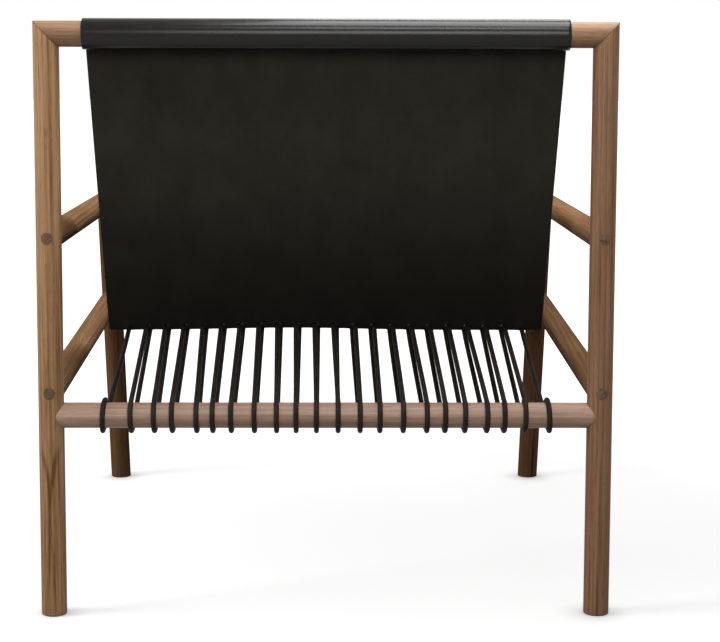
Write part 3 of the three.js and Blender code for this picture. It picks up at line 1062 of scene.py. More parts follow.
@dataclass(frozen=True)
class Pin:
    """A round pin through an upright, dressed flush with its round face."""

    node: str
    origin: Vector
    axis: Vector
    flush_cut: SaddleCut
    length: float
    radius: float
    finish: Walnut
    outer_ease: float = 0.0002
    inner_ease: float = 0.0008
    sides: int = 48
    stations: int = 4
    bore_stations: int = 2

    def build(self) -> bpy.types.Object:
        """Makes the pin.

        Returns:
            The object; its Z axis runs into the rail.
        """
        inner = PlaneCut(self.origin + self.axis.normalized() * self.length, self.axis)
        bar = Dowel(
            node=self.node, origin=self.origin, axis=self.axis, start_cut=self.flush_cut, end_cut=inner,
            radius=self.radius, finish=self.finish, start_ease=self.outer_ease, end_ease=self.inner_ease,
            sides=self.sides, stations=self.stations)
        return bar.build()

    def bore(self, room: float) -> bpy.types.Object:
        """Makes a bar that cuts the pin's hole.

        Args:
            room: how much wider and longer the hole is than the pin.

        Returns:
            The bar, which starts well outside the upright.
        """
        along = self.axis.normalized()
        outside = 3 * self.radius
        cutter = Dowel(
            node=f"bore_{self.node}", origin=self.origin, axis=self.axis,
            start_cut=PlaneCut(self.origin - along * outside, along),
            end_cut=PlaneCut(self.origin + along * (self.length + room), along),
            radius=self.radius + room, finish=self.finish, sides=self.sides, stations=self.bore_stations)
        return cutter.build()


@dataclass
class WoodFrame:
    """The chair's dowels and the pins that show at their joints."""

    sizes: FrameSizes
    foot_ease: float = 0.002
    leg_foot_ease: float = 0.0008
    post_stations: int = 64
    leg_stations: int = 56
    rail_stations: int = 80
    pin_room: float = 0.00012
    pin_end_shade: Colour = screen_colour(205, 198, 196)
    seed_count: int = 37
    pieces: dict[str, bpy.types.Object] = field(default_factory=dict)

    def finish_of(self, node: str) -> Walnut:
        """The wood of one dowel: no two come from the same part of a board, and the front legs' darker tone is
        painted shade for the seat's shadow over them.

        Args:
            node: the dowel's node.

        Returns:
            The finish.
        """
        chosen = {
            # The left post darkens towards its foot, partly painted shade.
            "rear_post_left": Walnut(
                HONEY, heart=(0.06, -0.05), lean=(0.004, -0.01), seed=2.0, foot_tone_and_shade_depth=0.3, gloss=0.1,
                flames=(
                    Flame(apex=0.158, middle=-0.001, reach=0.07, spread=0.17, width=0.0052, depth=0.36),
                    Flame(apex=0.12, middle=-0.001, reach=-0.15, spread=0.05, width=0.0034, depth=0.26),
                )),
            "rear_post_right": Walnut(ROSE, heart=(-0.07, 0.04), lean=(0.01, 0.006), seed=11.0, gloss=0.1),
            "top_rail": Walnut(OAT, heart=(0.08, 0.02), lean=(0.008, 0.004), seed=5.0, gloss=0.2),
            "rear_rail": Walnut(
                BLUSH, ring_depth=0.1, streak_depth=0.16, heart=(0.05, 0.06), lean=(0.006, 0.004), seed=8.0,
                gloss=0.36),
        }
        number = sum(ord(letter) for letter in node)
        # The front legs take the darker tone, which is painted shade for the seat's shadow over them.
        spread = Walnut(
            PAINTED_SHADE_UMBER if node.startswith("front_leg") else BROWN,
            heart=(0.03 + 0.05 * math.sin(number), 0.04 + 0.03 * math.cos(2 * number)),
            lean=(0.014 * math.sin(3 * number), 0.012 * math.cos(5 * number)),
            seed=float(number % self.seed_count), gloss=0.0)
        return chosen.get(node, spread)

    def dowels(self) -> list[Dowel]:
        """The frame's eleven dowels.

        Returns:
            The dowels, each with its cuts.
        """
        sizes = self.sizes
        up, forward = Vector((0, 0, 1)), Vector((0, 1, 0))
        leg_up = sizes.leg_up
        saddle = sizes.radius + sizes.joint_gap
        listed: list[Dowel] = []

        def add(node: str, origin: Vector, axis: Vector, start: Any, end: Any, **more: Any) -> None:
            """Lists one more dowel of the frame's stock."""
            listed.append(Dowel(
                node=node, origin=origin, axis=axis, start_cut=start, end_cut=end, radius=sizes.radius,
                finish=self.finish_of(node), **more))

        corners = {}
        for label, side in SIDES.items():
            x = side * sizes.half_spacing
            inward = Vector((-side, 0, 0))
            foot = Vector((x, sizes.post_y, 0))
            corner = foot + up * sizes.top_height
            corners[label] = corner
            mitre = self.mitre(corner, -up, inward)
            add(f"rear_post_{label}", foot, up, PlaneCut(foot, up), mitre,
                start_ease=self.foot_ease, stations=self.post_stations)
            arm_rear = foot + up * sizes.arm_height
            arm_corner = sizes.leg_point(x, sizes.arm_height)
            on_post = SaddleCut(foot, up, saddle)
            add(f"arm_{label}", arm_rear, forward, on_post, self.mitre(arm_corner, -forward, -leg_up))
            leg_foot = sizes.leg_point(x, 0)
            add(f"front_leg_{label}", leg_foot, leg_up, PlaneCut(leg_foot, up),
                self.mitre(arm_corner, -leg_up, -forward),
                start_ease=self.leg_foot_ease, stations=self.leg_stations)
            seat_rear, seat_front = self.seat_ends(x)
            on_leg = SaddleCut(leg_foot, leg_up, saddle)
            add(f"seat_rail_{label}", seat_rear, seat_front - seat_rear, on_post, on_leg)
        width = corners["right"] - corners["left"]
        way = width.normalized()
        add("top_rail", corners["left"], width, self.mitre(corners["left"], way, -up),
            self.mitre(corners["right"], -way, -up), stations=self.rail_stations)
        for node, (y, z), axis in (
            ("rear_rail", sizes.rear_rail, up),
            ("front_rail", sizes.front_rail, leg_up),
        ):
            cuts = []
            for side in SIDES.values():
                upright = (
                    Vector((side * sizes.half_spacing, sizes.post_y, z)) if node == "rear_rail"
                    else sizes.leg_point(side * sizes.half_spacing, z))
                cuts.append(SaddleCut(upright, axis, saddle, sizes.tip_trim))
            add(node, Vector((-sizes.half_spacing, y, z)), width, cuts[0], cuts[1],
                stations=self.rail_stations)
        return listed

    def mitre(self, corner: Vector, first: Vector, second: Vector) -> PlaneCut:
        """The mitre of the dowel that leaves a corner along the first way, towards one along the second."""
        normal = (second - first).normalized()
        return PlaneCut(corner - normal * self.sizes.joint_gap / 2, normal)

    def seat_ends(self, x: float) -> tuple[Vector, Vector]:
        """The two ends of a seat rail's axis.

        Args:
            x: the rail's place along X.

        Returns:
            The ends on the post's axis and on the front leg's axis.
        """
        sizes = self.sizes
        rear = Vector((x, sizes.post_y, sizes.seat_rear_height))
        return rear, sizes.leg_point(x, sizes.front_rail[1] - sizes.seat_drop_at_leg)

    def pins(self) -> list[tuple[Pin, tuple[str, str]]]:
        """The pins that show at the posts and the front legs.

        Returns:
            Each pin, with the two dowels that it passes through.
        """
        sizes = self.sizes
        up, forward = Vector((0, 0, 1)), Vector((0, 1, 0))
        length = sizes.radius + sizes.pin_depth_in_rail
        listed = []
        for label, side in SIDES.items():
            x = side * sizes.half_spacing
            foot = Vector((x, sizes.post_y, 0))
            seat_rear, seat_front = self.seat_ends(x)
            seat_way = (seat_front - seat_rear).normalized()
            on_post = SaddleCut(foot, up, sizes.radius)
            on_leg = SaddleCut(sizes.leg_point(x, 0), sizes.leg_up, sizes.radius)
            for node, origin, way, cut, upright, rail in (
                ("arm_rear_pin", foot + up * sizes.arm_height, forward, on_post, "rear_post", "arm"),
                ("seat_rail_rear_pin", seat_rear, seat_way, on_post, "rear_post", "seat_rail"),
                ("seat_rail_front_pin", seat_front, -seat_way, on_leg, "front_leg", "seat_rail"),
            ):
                finish = Walnut(
                    ASH, seed=float(10 * side + len(node)), heart=(0.016, 0.005 * side),
                    ring_width=PIN_RING_WIDTH, end_shade=self.pin_end_shade)
                outer = FlushCut(cut.axis_point, cut.axis, cut.radius)
                pin = Pin(f"{node}_{label}", origin, way, outer, length, sizes.pin_radius, finish)
                listed.append((pin, (f"{upright}_{label}", f"{rail}_{label}")))
        return listed

    def build(self) -> None:
        """Makes the dowels, bores them for the pins and dresses them all."""
        finishes = {}
        for dowel in self.dowels():
            self.pieces[dowel.node] = dowel.build()
            finishes[dowel.node] = dowel.finish
        for pin, bored in self.pins():
            cutter = pin.bore(self.pin_room)
            for node in bored:
                cut_away(self.pieces[node], cutter)
            remove(cutter)
            self.pieces[pin.node] = pin.build()
            dress(self.pieces[pin.node], [pin.finish.material(f"end_grain_{pin.node}")], "pin_wood", pin.node)
        for node, finish in finishes.items():
            dress(self.pieces[node], [finish.material(f"walnut_{node}")], "walnut", node)


@dataclass(frozen=True, eq=False)
class Bend:
    """A round stretch of the leather's middle in the side plane.

    It turns left where its end angle is larger than its start angle.
    """

    centre: Points
    radius: float
    start: float
    end: float

    @property
    def length(self) -> float:
        """The bend's length along the leather's middle."""
        return self.radius * abs(self.end - self.start)

    def at(self, distance: float) -> tuple[Points, Points]:
        """The leather's middle and its left side at a distance along the bend.

        Args:
            distance: metres from the bend's start.

        Returns:
            The point, and the unit normal to the left of the leather's way.
        """
        turn = math.copysign(1, self.end - self.start)
        angle = self.start + turn * distance / self.radius
        outward = direction(angle)
        return self.centre + self.radius * outward, -turn * outward


@dataclass(frozen=True, eq=False)
class Run:
    """A straight stretch of the leather's middle in the side plane."""

    start: Points
    end: Points

    @property
    def length(self) -> float:
        """The run's length."""
        return float(np.linalg.norm(self.end - self.start))

    def at(self, distance: float) -> tuple[Points, Points]:
        """The leather's middle and its left side at a distance along the run, as for a bend."""
        way = (self.end - self.start) / self.length
        return self.start + way * distance, np.array((-way[1], way[0]))


def direction(angle: float) -> Points:
    """The direction at an angle in the side plane: 0 points forward and a quarter turn points up."""
    return np.array((math.cos(angle), math.sin(angle)))


def heading_between(first: Points, first_radius: float, second: Points, second_radius: float) -> float:
    """The heading of the straight run between two bends.

    Args:
        first, second: the bends' centres in the side plane.
        first_radius, second_radius: their radii, positive where the leather turns left.

    Returns:
        The heading's angle, between minus and plus half a turn.
    """
    between = second - first
    swing = math.asin((second_radius - first_radius) / float(np.linalg.norm(between)))
    return math.atan2(between[1], between[0]) - swing


class LeatherSide(Enum):
    """The side of the leather that a face lies on, as the number of its material."""

    GRAIN = 0
    FLESH = 1
    EDGE = 2


@dataclass
class Sling:
    """The leather: one piece from a kerf under the top rail to a kerf under the front rail."""

    sizes: FrameSizes
    width: float = 0.598
    thickness: float = 0.003
    crease_inner_radius: float = 0.005
    crease_reach: float = 0.2341
    crease_height: float = 0.3352
    kerf_depth: float = 0.006
    kerf_bend_radius: float = 0.0022
    top_kerf_angle: float = math.radians(280)
    front_kerf_angle: float = math.radians(255)
    slot_pitch: float = 0.0257
    slot_count: int = 22
    slot_room: float = 0.0107
    slot_side_room: float = 0.0069
    strand_spacing: float = 0.0052
    strand_stagger: float = 0.00205
    edge_round: float = 0.0009
    pull_depth: float = 0.0022
    pull_width: float = 0.0058
    pull_above: float = 0.013
    pull_below: float = 0.009
    crease_lift: float = 0.0031
    crease_lift_place: float = -0.045
    crease_lift_width: float = 0.125
    crease_lift_reach: float = 0.06
    pull_rest: float = 0.4
    wave_depth: float = 0.00035
    ripples: tuple[tuple[float, float, float, float], ...] = ((1.0, 9.3, 7.1, 0.0), (0.7, 17.0, -11.0, 1.3))
    held_length: float = 0.09
    corner_round: float = 0.3
    bend_step: float = math.radians(5)
    run_step: float = 0.018
    rows_above: tuple[float, ...] = (0.036, 0.029, 0.023, 0.018, 0.014, 0.0105, 0.0075)
    rows_below: tuple[float, ...] = (0.0075, 0.0102, 0.013)
    close_rows_above: float = 0.04
    close_rows_below: float = 0.0145
    slot_columns: tuple[float, ...] = (-1, -0.35, 0.35, 1)
    beside_slot: float = 0.0102
    margin_steps: int = 5
    rim_steps: int = 4
    smooth_below: float = 50.0
    stretches: list[Bend | Run] = field(init=False)
    slot_place: Points = field(init=False)
    slot_distance: float = field(init=False)
    slot_normal: Points = field(init=False)
    slot_up: Points = field(init=False)

    def __post_init__(self) -> None:
        """Works out the leather's section in the side plane."""
        sizes = self.sizes
        half = self.thickness / 2
        quarter, turn = math.pi / 2, 2 * math.pi
        wrap = sizes.radius + sizes.joint_gap + half
        crease = self.crease_inner_radius + half
        top = np.array((sizes.post_y, sizes.top_height))
        front = np.array(sizes.front_rail)
        middle = np.array((sizes.post_y + self.crease_reach, self.crease_height))
        back_heading = heading_between(top, -wrap, middle, crease)
        seat_heading = heading_between(middle, crease, front, -wrap)
        swing = math.asin(self.kerf_bend_radius / (wrap - self.kerf_bend_radius))
        top_join = self.top_kerf_angle - swing
        front_join = self.front_kerf_angle + swing
        bends = [
            self.kerf_bend(top, wrap, top_join, self.top_kerf_angle + quarter, top_join),
            Bend(top, wrap, top_join, back_heading + quarter),
            Bend(middle, crease, back_heading - quarter, seat_heading - quarter),
            Bend(front, wrap, seat_heading + quarter, front_join - turn),
            self.kerf_bend(front, wrap, front_join, front_join, self.front_kerf_angle - quarter),
        ]
        floor = sizes.radius - self.kerf_depth + sizes.joint_gap
        places = [top + direction(self.top_kerf_angle) * floor]
        self.stretches = []
        for bend in bends:
            self.stretches += [Run(places[-1], bend.at(0)[0]), bend]
            places.append(bend.at(bend.length)[0])
        self.stretches.append(Run(places[-1], front + direction(self.front_kerf_angle) * floor))
        self.stretches = [stretch for stretch in self.stretches if stretch.length > SHORTEST_STRETCH]
        crease_bend = bends[2]
        before_crease = self.stretches[:self.stretches.index(crease_bend)]
        self.slot_distance = sum(stretch.length for stretch in before_crease)
        self.slot_place = crease_bend.at(0)[0]
        self.slot_normal = direction(back_heading - quarter)
        self.slot_up = -direction(back_heading)

    def kerf_bend(self, centre: Points, wrap: float, join: float, start: float, end: float) -> Bend:
        """The tight bend between a rail's round and its kerf."""
        middle = centre + direction(join) * (wrap - self.kerf_bend_radius)
        return Bend(middle, self.kerf_bend_radius, start, end)

    @property
    def length(self) -> float:
        """The leather's whole length, laid flat."""
        return sum(stretch.length for stretch in self.stretches)

    def at(self, distance: float) -> tuple[Points, Points]:
        """The leather's middle and its left side at a distance along it.

        Args:
            distance: metres from the leather's top end.

        Returns:
            The point, and the unit normal to the left of the leather's way.
        """
        for stretch in self.stretches:
            if distance <= stretch.length:
                return stretch.at(distance)
            distance -= stretch.length
        return self.stretches[-1].at(self.stretches[-1].length)

    def slot_x(self, index: int) -> float:
        """The place of a lacing slot along X, counted from the left."""
        return (index - (self.slot_count - 1) / 2) * self.slot_pitch

    def slot_half_width(self, index: int) -> float:
        """Half a slot's width: room for two strands, or for one at either end of the row."""
        strands = 0.0 if index in (0, self.slot_count - 1) else self.strand_spacing
        return (strands + self.slot_side_room) / 2

    def rows(self) -> list[float]:
        """Where the leather's skin has a row of points.

        Returns:
            Distances along the leather, closer together at the slots.
        """
        found = [0.0]
        walked = 0.0
        for stretch in self.stretches:
            if isinstance(stretch, Bend):
                count = max(3, math.ceil(stretch.length / stretch.radius / self.bend_step))
            else:
                count = max(1, math.ceil(stretch.length / self.run_step))
            found += [walked + stretch.length * step / count for step in range(1, count + 1)]
            walked += stretch.length
        half = self.slot_room / 2
        near = [-offset for offset in self.rows_above] + [-half, 0.0, half, *self.rows_below]
        first = self.slot_distance - self.close_rows_above
        last = self.slot_distance + self.close_rows_below
        kept = [row for row in found if not first < row < last]
        return sorted(kept + [self.slot_distance + offset for offset in near])

    def columns(self) -> list[float]:
        """Where the leather's skin has a column of points.

        Returns:
            Places along X, with some at every slot and between the slots.
        """
        found = []
        for index in range(self.slot_count):
            middle, half = self.slot_x(index), self.slot_half_width(index)
            found += [middle + share * half for share in self.slot_columns]
            found += [middle - self.beside_slot, middle + self.beside_slot]
            if index < self.slot_count - 1:
                found.append(middle + self.slot_pitch / 2)
        outer = self.width / 2 - self.edge_round
        margin = self.slot_x(self.slot_count - 1) + self.beside_slot
        for step in range(1, self.margin_steps + 1):
            place = margin + (outer - margin) * step / self.margin_steps
            found += [place, -place]
        return sorted(found)

    def pulled(self, x: float, distance: float) -> Points:
        """How far the lacing moves the leather at a place, in the side plane.

        Args:
            x: the place along X.
            distance: the place along the leather.

        Returns:
            The move: each slot is drawn towards the rear rail, and the crease rises a little at its middle.
        """
        from_slot = distance - self.slot_distance
        reach = self.pull_above if from_slot < 0 else self.pull_below
        near = math.exp(-(from_slot / reach) ** 2)
        nearest = min(max(round(x / self.slot_pitch + (self.slot_count - 1) / 2), 0), self.slot_count - 1)
        drawn = math.exp(-((x - self.slot_x(nearest)) / self.pull_width) ** 2)
        way = np.array(self.sizes.rear_rail) - self.slot_place
        way = way / np.linalg.norm(way)
        move = way * self.pull_depth * (drawn - self.pull_rest) * near
        return move + np.array((0.0, self.lift(x) * math.exp(-(from_slot / self.crease_lift_reach) ** 2)))

    def lift(self, x: float) -> float:
        """How far the crease rises at a place along X."""
        return self.crease_lift * math.exp(-((x - self.crease_lift_place) / self.crease_lift_width) ** 2)

    def wave(self, x: float, distance: float) -> float:
        """The leather's slight unevenness, which dies out where a rail holds it.

        Args:
            x: the place along X.
            distance: the place along the leather.

        Returns:
            How far the leather stands out to its left there.
        """
        if distance < self.slot_distance:
            share = (distance - self.held_length) / (self.slot_distance - self.held_length)
        else:
            share = (distance - self.slot_distance) / (self.length - self.slot_distance - self.held_length)
        if not 0 < share < 1:
            return 0.0
        ripple = sum(
            height * math.sin(across * x + along * distance + shift)
            for height, across, along, shift in self.ripples)
        return self.wave_depth * ripple * math.sin(math.pi * share)

    def place(self, x: float, distance: float, offset: float) -> list[float]:
        """A point of the leather.

        Args:
            x: the place along X.
            distance: the place along the leather.
            offset: how far the point lies off the leather's middle, to the sitter's side.

        Returns:
            The point in the row frame.
        """
        point, normal = self.at(distance)
        point = point + normal * (offset + self.wave(x, distance)) + self.pulled(x, distance)
        return [x, float(point[0]), float(point[1])]

    def in_slot(self, x: float, distance: float) -> bool:
        """Whether the middle of a patch of the skin lies in a lacing slot.

        Args:
            x: the middle's place along X.
            distance: its place along the leather.

        Returns:
            True where the patch is open.
        """
        if abs(distance - self.slot_distance) > self.slot_room / 2:
            return False
        return any(
            abs(x - self.slot_x(index)) < self.slot_half_width(index) for index in range(self.slot_count))

    def eased_slot_corner(self, x: float, distance: float) -> tuple[float, float]:
        """The place of a skin point, with the corners of the slots drawn in to a round.

        Args:
            x: the point's place along X.
            distance: its place along the leather.

        Returns:
            Both places, moved only at a slot's corner.
        """
        half = self.slot_room / 2
        if abs(abs(distance - self.slot_distance) - half) > SAME_PLACE:
            return x, distance
        for index in range(self.slot_count):
            middle = self.slot_x(index)
            if abs(abs(x - middle) - self.slot_half_width(index)) < SAME_PLACE:
                inset = self.corner_round * half
                inward_x = math.copysign(inset, middle - x)
                inward_along = math.copysign(inset, self.slot_distance - distance)
                return x + inward_x, distance + inward_along
        return x, distance

    def build(self) -> bpy.types.Object:
        """Returns:
            The leather.
        """
        rows, columns = self.rows(), self.columns()
        half = self.thickness / 2
        points: list[list[float]] = []
        for offset in (half, -half):
            for distance in rows:
                for x in columns:
                    points.append(self.place(*self.eased_slot_corner(x, distance), offset))
        grid = np.arange(len(points)).reshape(2, len(rows), len(columns))
        faces: list[list[int]] = []
        sides: list[int] = []
        open_patches = np.zeros((len(rows) - 1, len(columns) - 1), bool)
        for row in range(len(rows) - 1):
            for column in range(len(columns) - 1):
                middle_x = (columns[column] + columns[column + 1]) / 2
                middle_row = (rows[row] + rows[row + 1]) / 2
                open_patches[row, column] = self.in_slot(middle_x, middle_row)
        for (row, column), is_open in np.ndenumerate(open_patches):
            if is_open:
                continue
            for side, order in ((LeatherSide.GRAIN.value, 1), (LeatherSide.FLESH.value, -1)):
                patch = [
                    grid[side, row, column], grid[side, row + 1, column],
                    grid[side, row + 1, column + 1], grid[side, row, column + 1]]
                faces.append([int(corner) for corner in patch[::order]])
                sides.append(side)
        self.add_slot_rims(grid, open_patches, faces, sides)
        self.add_outer_rims(rows, columns, grid, points, faces, sides)
        leather = placed_mesh("leather_sling_dressed", points, faces, self.smooth_below)
        straighten(leather.data)
        materials = [
            GrainSideLeather().material("leather_grain_side"),
            FleshSideLeather().material("leather_flesh_side"),
            CutEdge().material("leather_cut_edge"),
        ]
        dress(leather, materials, "sling_leather", "leather_sling")
        leather.data.polygons.foreach_set("material_index", sides)
        self.length
        return leather

    @staticmethod
    def add_slot_rims(grid: Points, open_patches: Points, faces: list[list[int]], sides: list[int]) -> None:
        """Joins the two skins round each lacing slot.

        Args:
            grid: the numbers of both skins' points, by skin, row and column.
            open_patches: which patches between the points are open.
            faces: the leather's faces, which the rims are added to.
            sides: the side of each face, likewise.
        """
        height, width = open_patches.shape
        # Each edge of a patch: the row and column of its two corners, and the way to the patch beyond it.
        steps = ((0, 0, 0, 1, -1, 0), (1, 1, 1, 0, 1, 0), (0, 1, 1, 1, 0, 1), (1, 0, 0, 0, 0, -1))
        for row, column in zip(*np.nonzero(open_patches)):
            for row_a, column_a, row_b, column_b, row_step, column_step in steps:
                other_row, other_column = row + row_step, column + column_step
                within = 0 <= other_row < height and 0 <= other_column < width
                if within and open_patches[other_row, other_column]:
                    continue
                first = (row + row_a, column + column_a)
                second = (row + row_b, column + column_b)
                faces.append([
                    int(grid[0][first]), int(grid[0][second]), int(grid[1][second]), int(grid[1][first])])
                sides.append(LeatherSide.EDGE.value)

    def add_outer_rims(
        self, rows: list[float], columns: list[float], grid: Points, points: list[list[float]],
        faces: list[list[int]], sides: list[int],
    ) -> None:
        """Joins the two skins along the leather's edges, rounded at its sides and square in the kerfs.

        Args:
            rows, columns: where the skins have points, along the leather and along X.
            grid: the numbers of both skins' points, by skin, row and column.
            points: the leather's points, which the rims are added to.
            faces, sides: the leather's faces and the side of each, likewise.
        """
        half = self.thickness / 2
        edges = {}
        for column, sign in ((0, -1), (len(columns) - 1, 1)):
            lines = [list(grid[0, :, column])]
            for step in range(1, self.rim_steps):
                angle = math.pi / 2 - math.pi * step / self.rim_steps
                x = columns[column] + sign * self.edge_round * math.cos(angle)
                lines.append(list(range(len(points), len(points) + len(rows))))
                points.extend(self.place(x, distance, half * math.sin(angle)) for distance in rows)
            lines.append(list(grid[1, :, column]))
            edges[sign] = lines
            for upper, lower in zip(lines, lines[1:]):
                for row in range(len(rows) - 1):
                    faces.append([int(upper[row]), int(upper[row + 1]), int(lower[row + 1]), int(lower[row])])
                    sides.append(LeatherSide.EDGE.value)
        for row in (0, len(rows) - 1):
            left = [line[row] for line in edges[-1]][1:-1]
            right = [line[row] for line in edges[1]][1:-1]
            loop = list(grid[0, row, :]) + right + list(grid[1, row, ::-1]) + left[::-1]
            faces.append([int(corner) for corner in loop])
            sides.append(LeatherSide.EDGE.value)


def straighten(mesh: bpy.types.Mesh) -> None:
    """Turns all faces of a closed mesh to point out.

    Args:
        mesh: the mesh.
    """
    shape = bmesh.new()
    shape.from_mesh(mesh)
    bmesh.ops.recalc_face_normals(shape, faces=shape.faces)
    shape.to_mesh(mesh)
    shape.free()


@dataclass
class Lacing:
    """The cord: hitched on the rear rail at both ends, and looped between the crease and the rail."""

    sizes: FrameSizes
    sling: Sling
    diameter: float = 0.0065
    rail_gap: float = 0.0002
    stitch_lift: float = 0.00075
    stitch_bend_radius: float = 0.0035
    # How far each wrap on the rail lies off its slot along X, counted from the left.
    drift: tuple[float, ...] = (
        -0.0088, 0.0004, 0.0036, 0.0003, 0.0052, -0.0004, -0.003, 0.0004, 0.0024, 0.0012, 0.001,
        0.0025, 0.0044, 0.0035, 0.0072, 0.011, 0.0082, 0.0074, 0.0093, 0.0053, 0.0057, 0.0099)
    turning_loop: int = 12
    hitch_slant: float = 0.003
    hitch_tail_shift: float = 0.01
    hitch_tail_angle: float = math.radians(38)
    hitch_tip_angle: float = math.radians(-15)
    wrap_steps: int = 36
    bend_steps: int = 5
    strand_steps: int = 8
    smoothing_passes: int = 3
    sides: int = 14
    tip_angles: tuple[float, ...] = (0.0, 25.0, 50.0, 72.0)
    smooth_below: float = 80.0
    finish: BlackBraid = BlackBraid()

    @property
    def wrap_radius(self) -> float:
        """The distance of the cord's middle from the rail's axis."""
        return self.sizes.radius + self.rail_gap + self.diameter / 2

    def on_rail(self, x: float, angle: float) -> Points:
        """A point of the cord on the rear rail."""
        place = np.array(self.sizes.rear_rail) + direction(angle) * self.wrap_radius
        return np.array((x, place[0], place[1]))

    def strand_angles(self) -> tuple[float, float]:
        """The angles on the rail where the strands meet the cord's turn.

        Returns:
            The angle of the strand over the rail and that of the strand under it.
        """
        to_slot = self.sling.slot_place - np.array(self.sizes.rear_rail)
        angle = math.atan2(to_slot[1], to_slot[0])
        swing = math.acos(self.wrap_radius / float(np.linalg.norm(to_slot)))
        return angle + swing, angle - swing + 2 * math.pi

    def stitch_bend(self, x: float, sense: int, stagger: float = 0.0) -> list[Points]:
        """The bend between a strand in its slot and the stitch inside.

        Args:
            x: the strand's place along X.
            sense: the stitch's way along X.
            stagger: how far up the slot the strand lies, from -1 to 1.

        Returns:
            The bend's points, from the slot.
        """
        sling = self.sling
        up_slot = sling.slot_up * sling.strand_stagger * stagger
        depth_inside = sling.thickness / 2 + self.stitch_lift + self.diameter / 2
        found = []
        for step in range(self.bend_steps + 1):
            angle = step / self.bend_steps * math.pi / 2
            depth = depth_inside - self.stitch_bend_radius * (1 - math.sin(angle))
            shift = self.stitch_bend_radius * (1 - math.cos(angle))
            place = sling.slot_place + up_slot - sling.slot_normal * depth + np.array((0.0, sling.lift(x)))
            found.append(np.array((x + sense * shift, place[0], place[1])))
        return found

    def strand(self, start: Points, end: Points) -> list[Points]:
        """The points of a taut strand between two points, without them."""
        return [start + (end - start) * step / self.strand_steps for step in range(1, self.strand_steps)]

    def loop(self, index: int) -> list[Points]:
        """One loop: out of its slot, round the rail from above or from below, and back into the slot.

        Args:
            index: the slot's number.

        Returns:
            The cord's points.
        """
        upper, lower = self.strand_angles()
        from_above = index < self.turning_loop
        start, end = (upper, lower) if from_above else (lower, upper)
        stagger = 1.0 if from_above else -1.0
        x, half = self.sling.slot_x(index), self.sling.strand_spacing / 2
        ring = [
            self.on_rail(x + self.drift[index], start + (end - start) * step / self.wrap_steps)
            for step in range(self.wrap_steps + 1)
        ]
        out = self.stitch_bend(x - half, -1, stagger)[::-1]
        back = self.stitch_bend(x + half, 1, -stagger)
        return out + self.strand(out[-1], ring[0]) + ring + self.strand(ring[-1], back[0]) + back

    def hitch(self, index: int, sense: int) -> list[Points]:
        """The half hitch at an end of the cord, from the slot to the tip.

        Args:
            index: the slot's number.
            sense: the way along X to the chair's middle.

        Returns:
            The cord's points: under the rail, up its rear face, over it, and tucked in below the strand.
        """
        upper, lower = self.strand_angles()
        ring_x = self.sling.slot_x(index) + self.drift[index]
        out = self.stitch_bend(self.sling.slot_x(index), sense)[::-1]
        steps = round(self.wrap_steps * (lower - self.hitch_tip_angle) / math.pi)
        ring = []
        for step in range(steps + 1):
            angle = lower + (self.hitch_tip_angle - lower) * step / steps
            slant = self.hitch_slant * (0.5 - max((angle - upper) / (lower - upper), 0.0))
            tail = eased(angle, self.hitch_tail_angle, self.hitch_tip_angle) * self.hitch_tail_shift
            ring.append(self.on_rail(ring_x + sense * (slant + tail), angle))
        return out + self.strand(out[-1], ring[0]) + ring

    def route(self) -> Points:
        """The cord's whole route, with the kinks along X drawn smooth.

        Returns:
            The points of the cord's middle, from its left tip to its right tip.
        """
        last = self.sling.slot_count - 1
        points = self.hitch(0, 1)[::-1]
        for index in range(1, last):
            points += self.loop(index)
        points += self.hitch(last, -1)
        route = np.array(points)
        smooth = route[:, 0].copy()
        for _ in range(self.smoothing_passes):
            smooth[1:-1] = smooth[1:-1] * 0.5 + (smooth[:-2] + smooth[2:]) * 0.25
        route[:, 0] = smooth
        return route

    def build(self) -> bpy.types.Object:
        """Makes the cord as one tube with round tips, and a map of its length and girth for the braid.

        Returns:
            The cord.
        """
        route = self.route()
        radius = self.diameter / 2
        steps = np.linalg.norm(np.diff(route, axis=0), axis=1)
        tangents = self.tangents(route)
        rings, lengths = [], []
        across = np.cross((1.0, 0.0, 0.0), tangents[0])
        along = np.concatenate([[0.0], np.cumsum(steps)])
        angles = np.linspace(0, 2 * math.pi, self.sides, endpoint=False)
        for number, (point, tangent) in enumerate(zip(route, tangents)):
            across = across - across @ tangent * tangent
            across = across / np.linalg.norm(across)
            other = np.cross(tangent, across)
            spokes = np.outer(np.cos(angles), across) + np.outer(np.sin(angles), other)
            for share, shift in self.tip_profile(number, len(route)):
                rings.append(point + tangent * shift * radius + spokes * radius * share)
                lengths.append(float(along[number]) + shift * radius)
        tips = [route[0] - tangents[0] * radius, route[-1] + tangents[-1] * radius]
        points = np.concatenate([[tips[0]], *rings, [tips[1]]])
        cord = placed_mesh("laced_cord", points, loft_faces(len(rings), self.sides), self.smooth_below)
        lengths = [lengths[0] - radius, *lengths, lengths[-1] + radius]
        self.map_braid(cord.data, lengths)
        dress(cord, [self.finish.material("black_braid")], "lacing", "lacing_cord")
        return cord

    @staticmethod
    def tangents(route: Points) -> Points:
        """The cord's direction at each of its points.

        Args:
            route: the points of the cord's middle.

        Returns:
            Unit directions, one for each point.
        """
        ways = np.diff(route, axis=0)
        ways = ways / np.linalg.norm(ways, axis=1)[:, None]
        mixed = np.concatenate([ways[:1], ways[:-1] + ways[1:], ways[-1:]])
        return mixed / np.linalg.norm(mixed, axis=1)[:, None]

    def tip_profile(self, number: int, count: int) -> list[tuple[float, float]]:
        """The rings at one point of the route: one, or a few that round off a tip.

        Args:
            number: the point's number.
            count: how many points the route has.

        Returns:
            Pairs of a ring's radius and its shift along the cord, both as shares of the cord's radius.
        """
        if 0 < number < count - 1:
            return [(1.0, 0.0)]
        sign = -1 if number == 0 else 1
        angles = [math.radians(degrees) for degrees in self.tip_angles]
        rings = [(math.cos(angle), sign * math.sin(angle)) for angle in angles]
        return rings[::-1] if number == 0 else rings

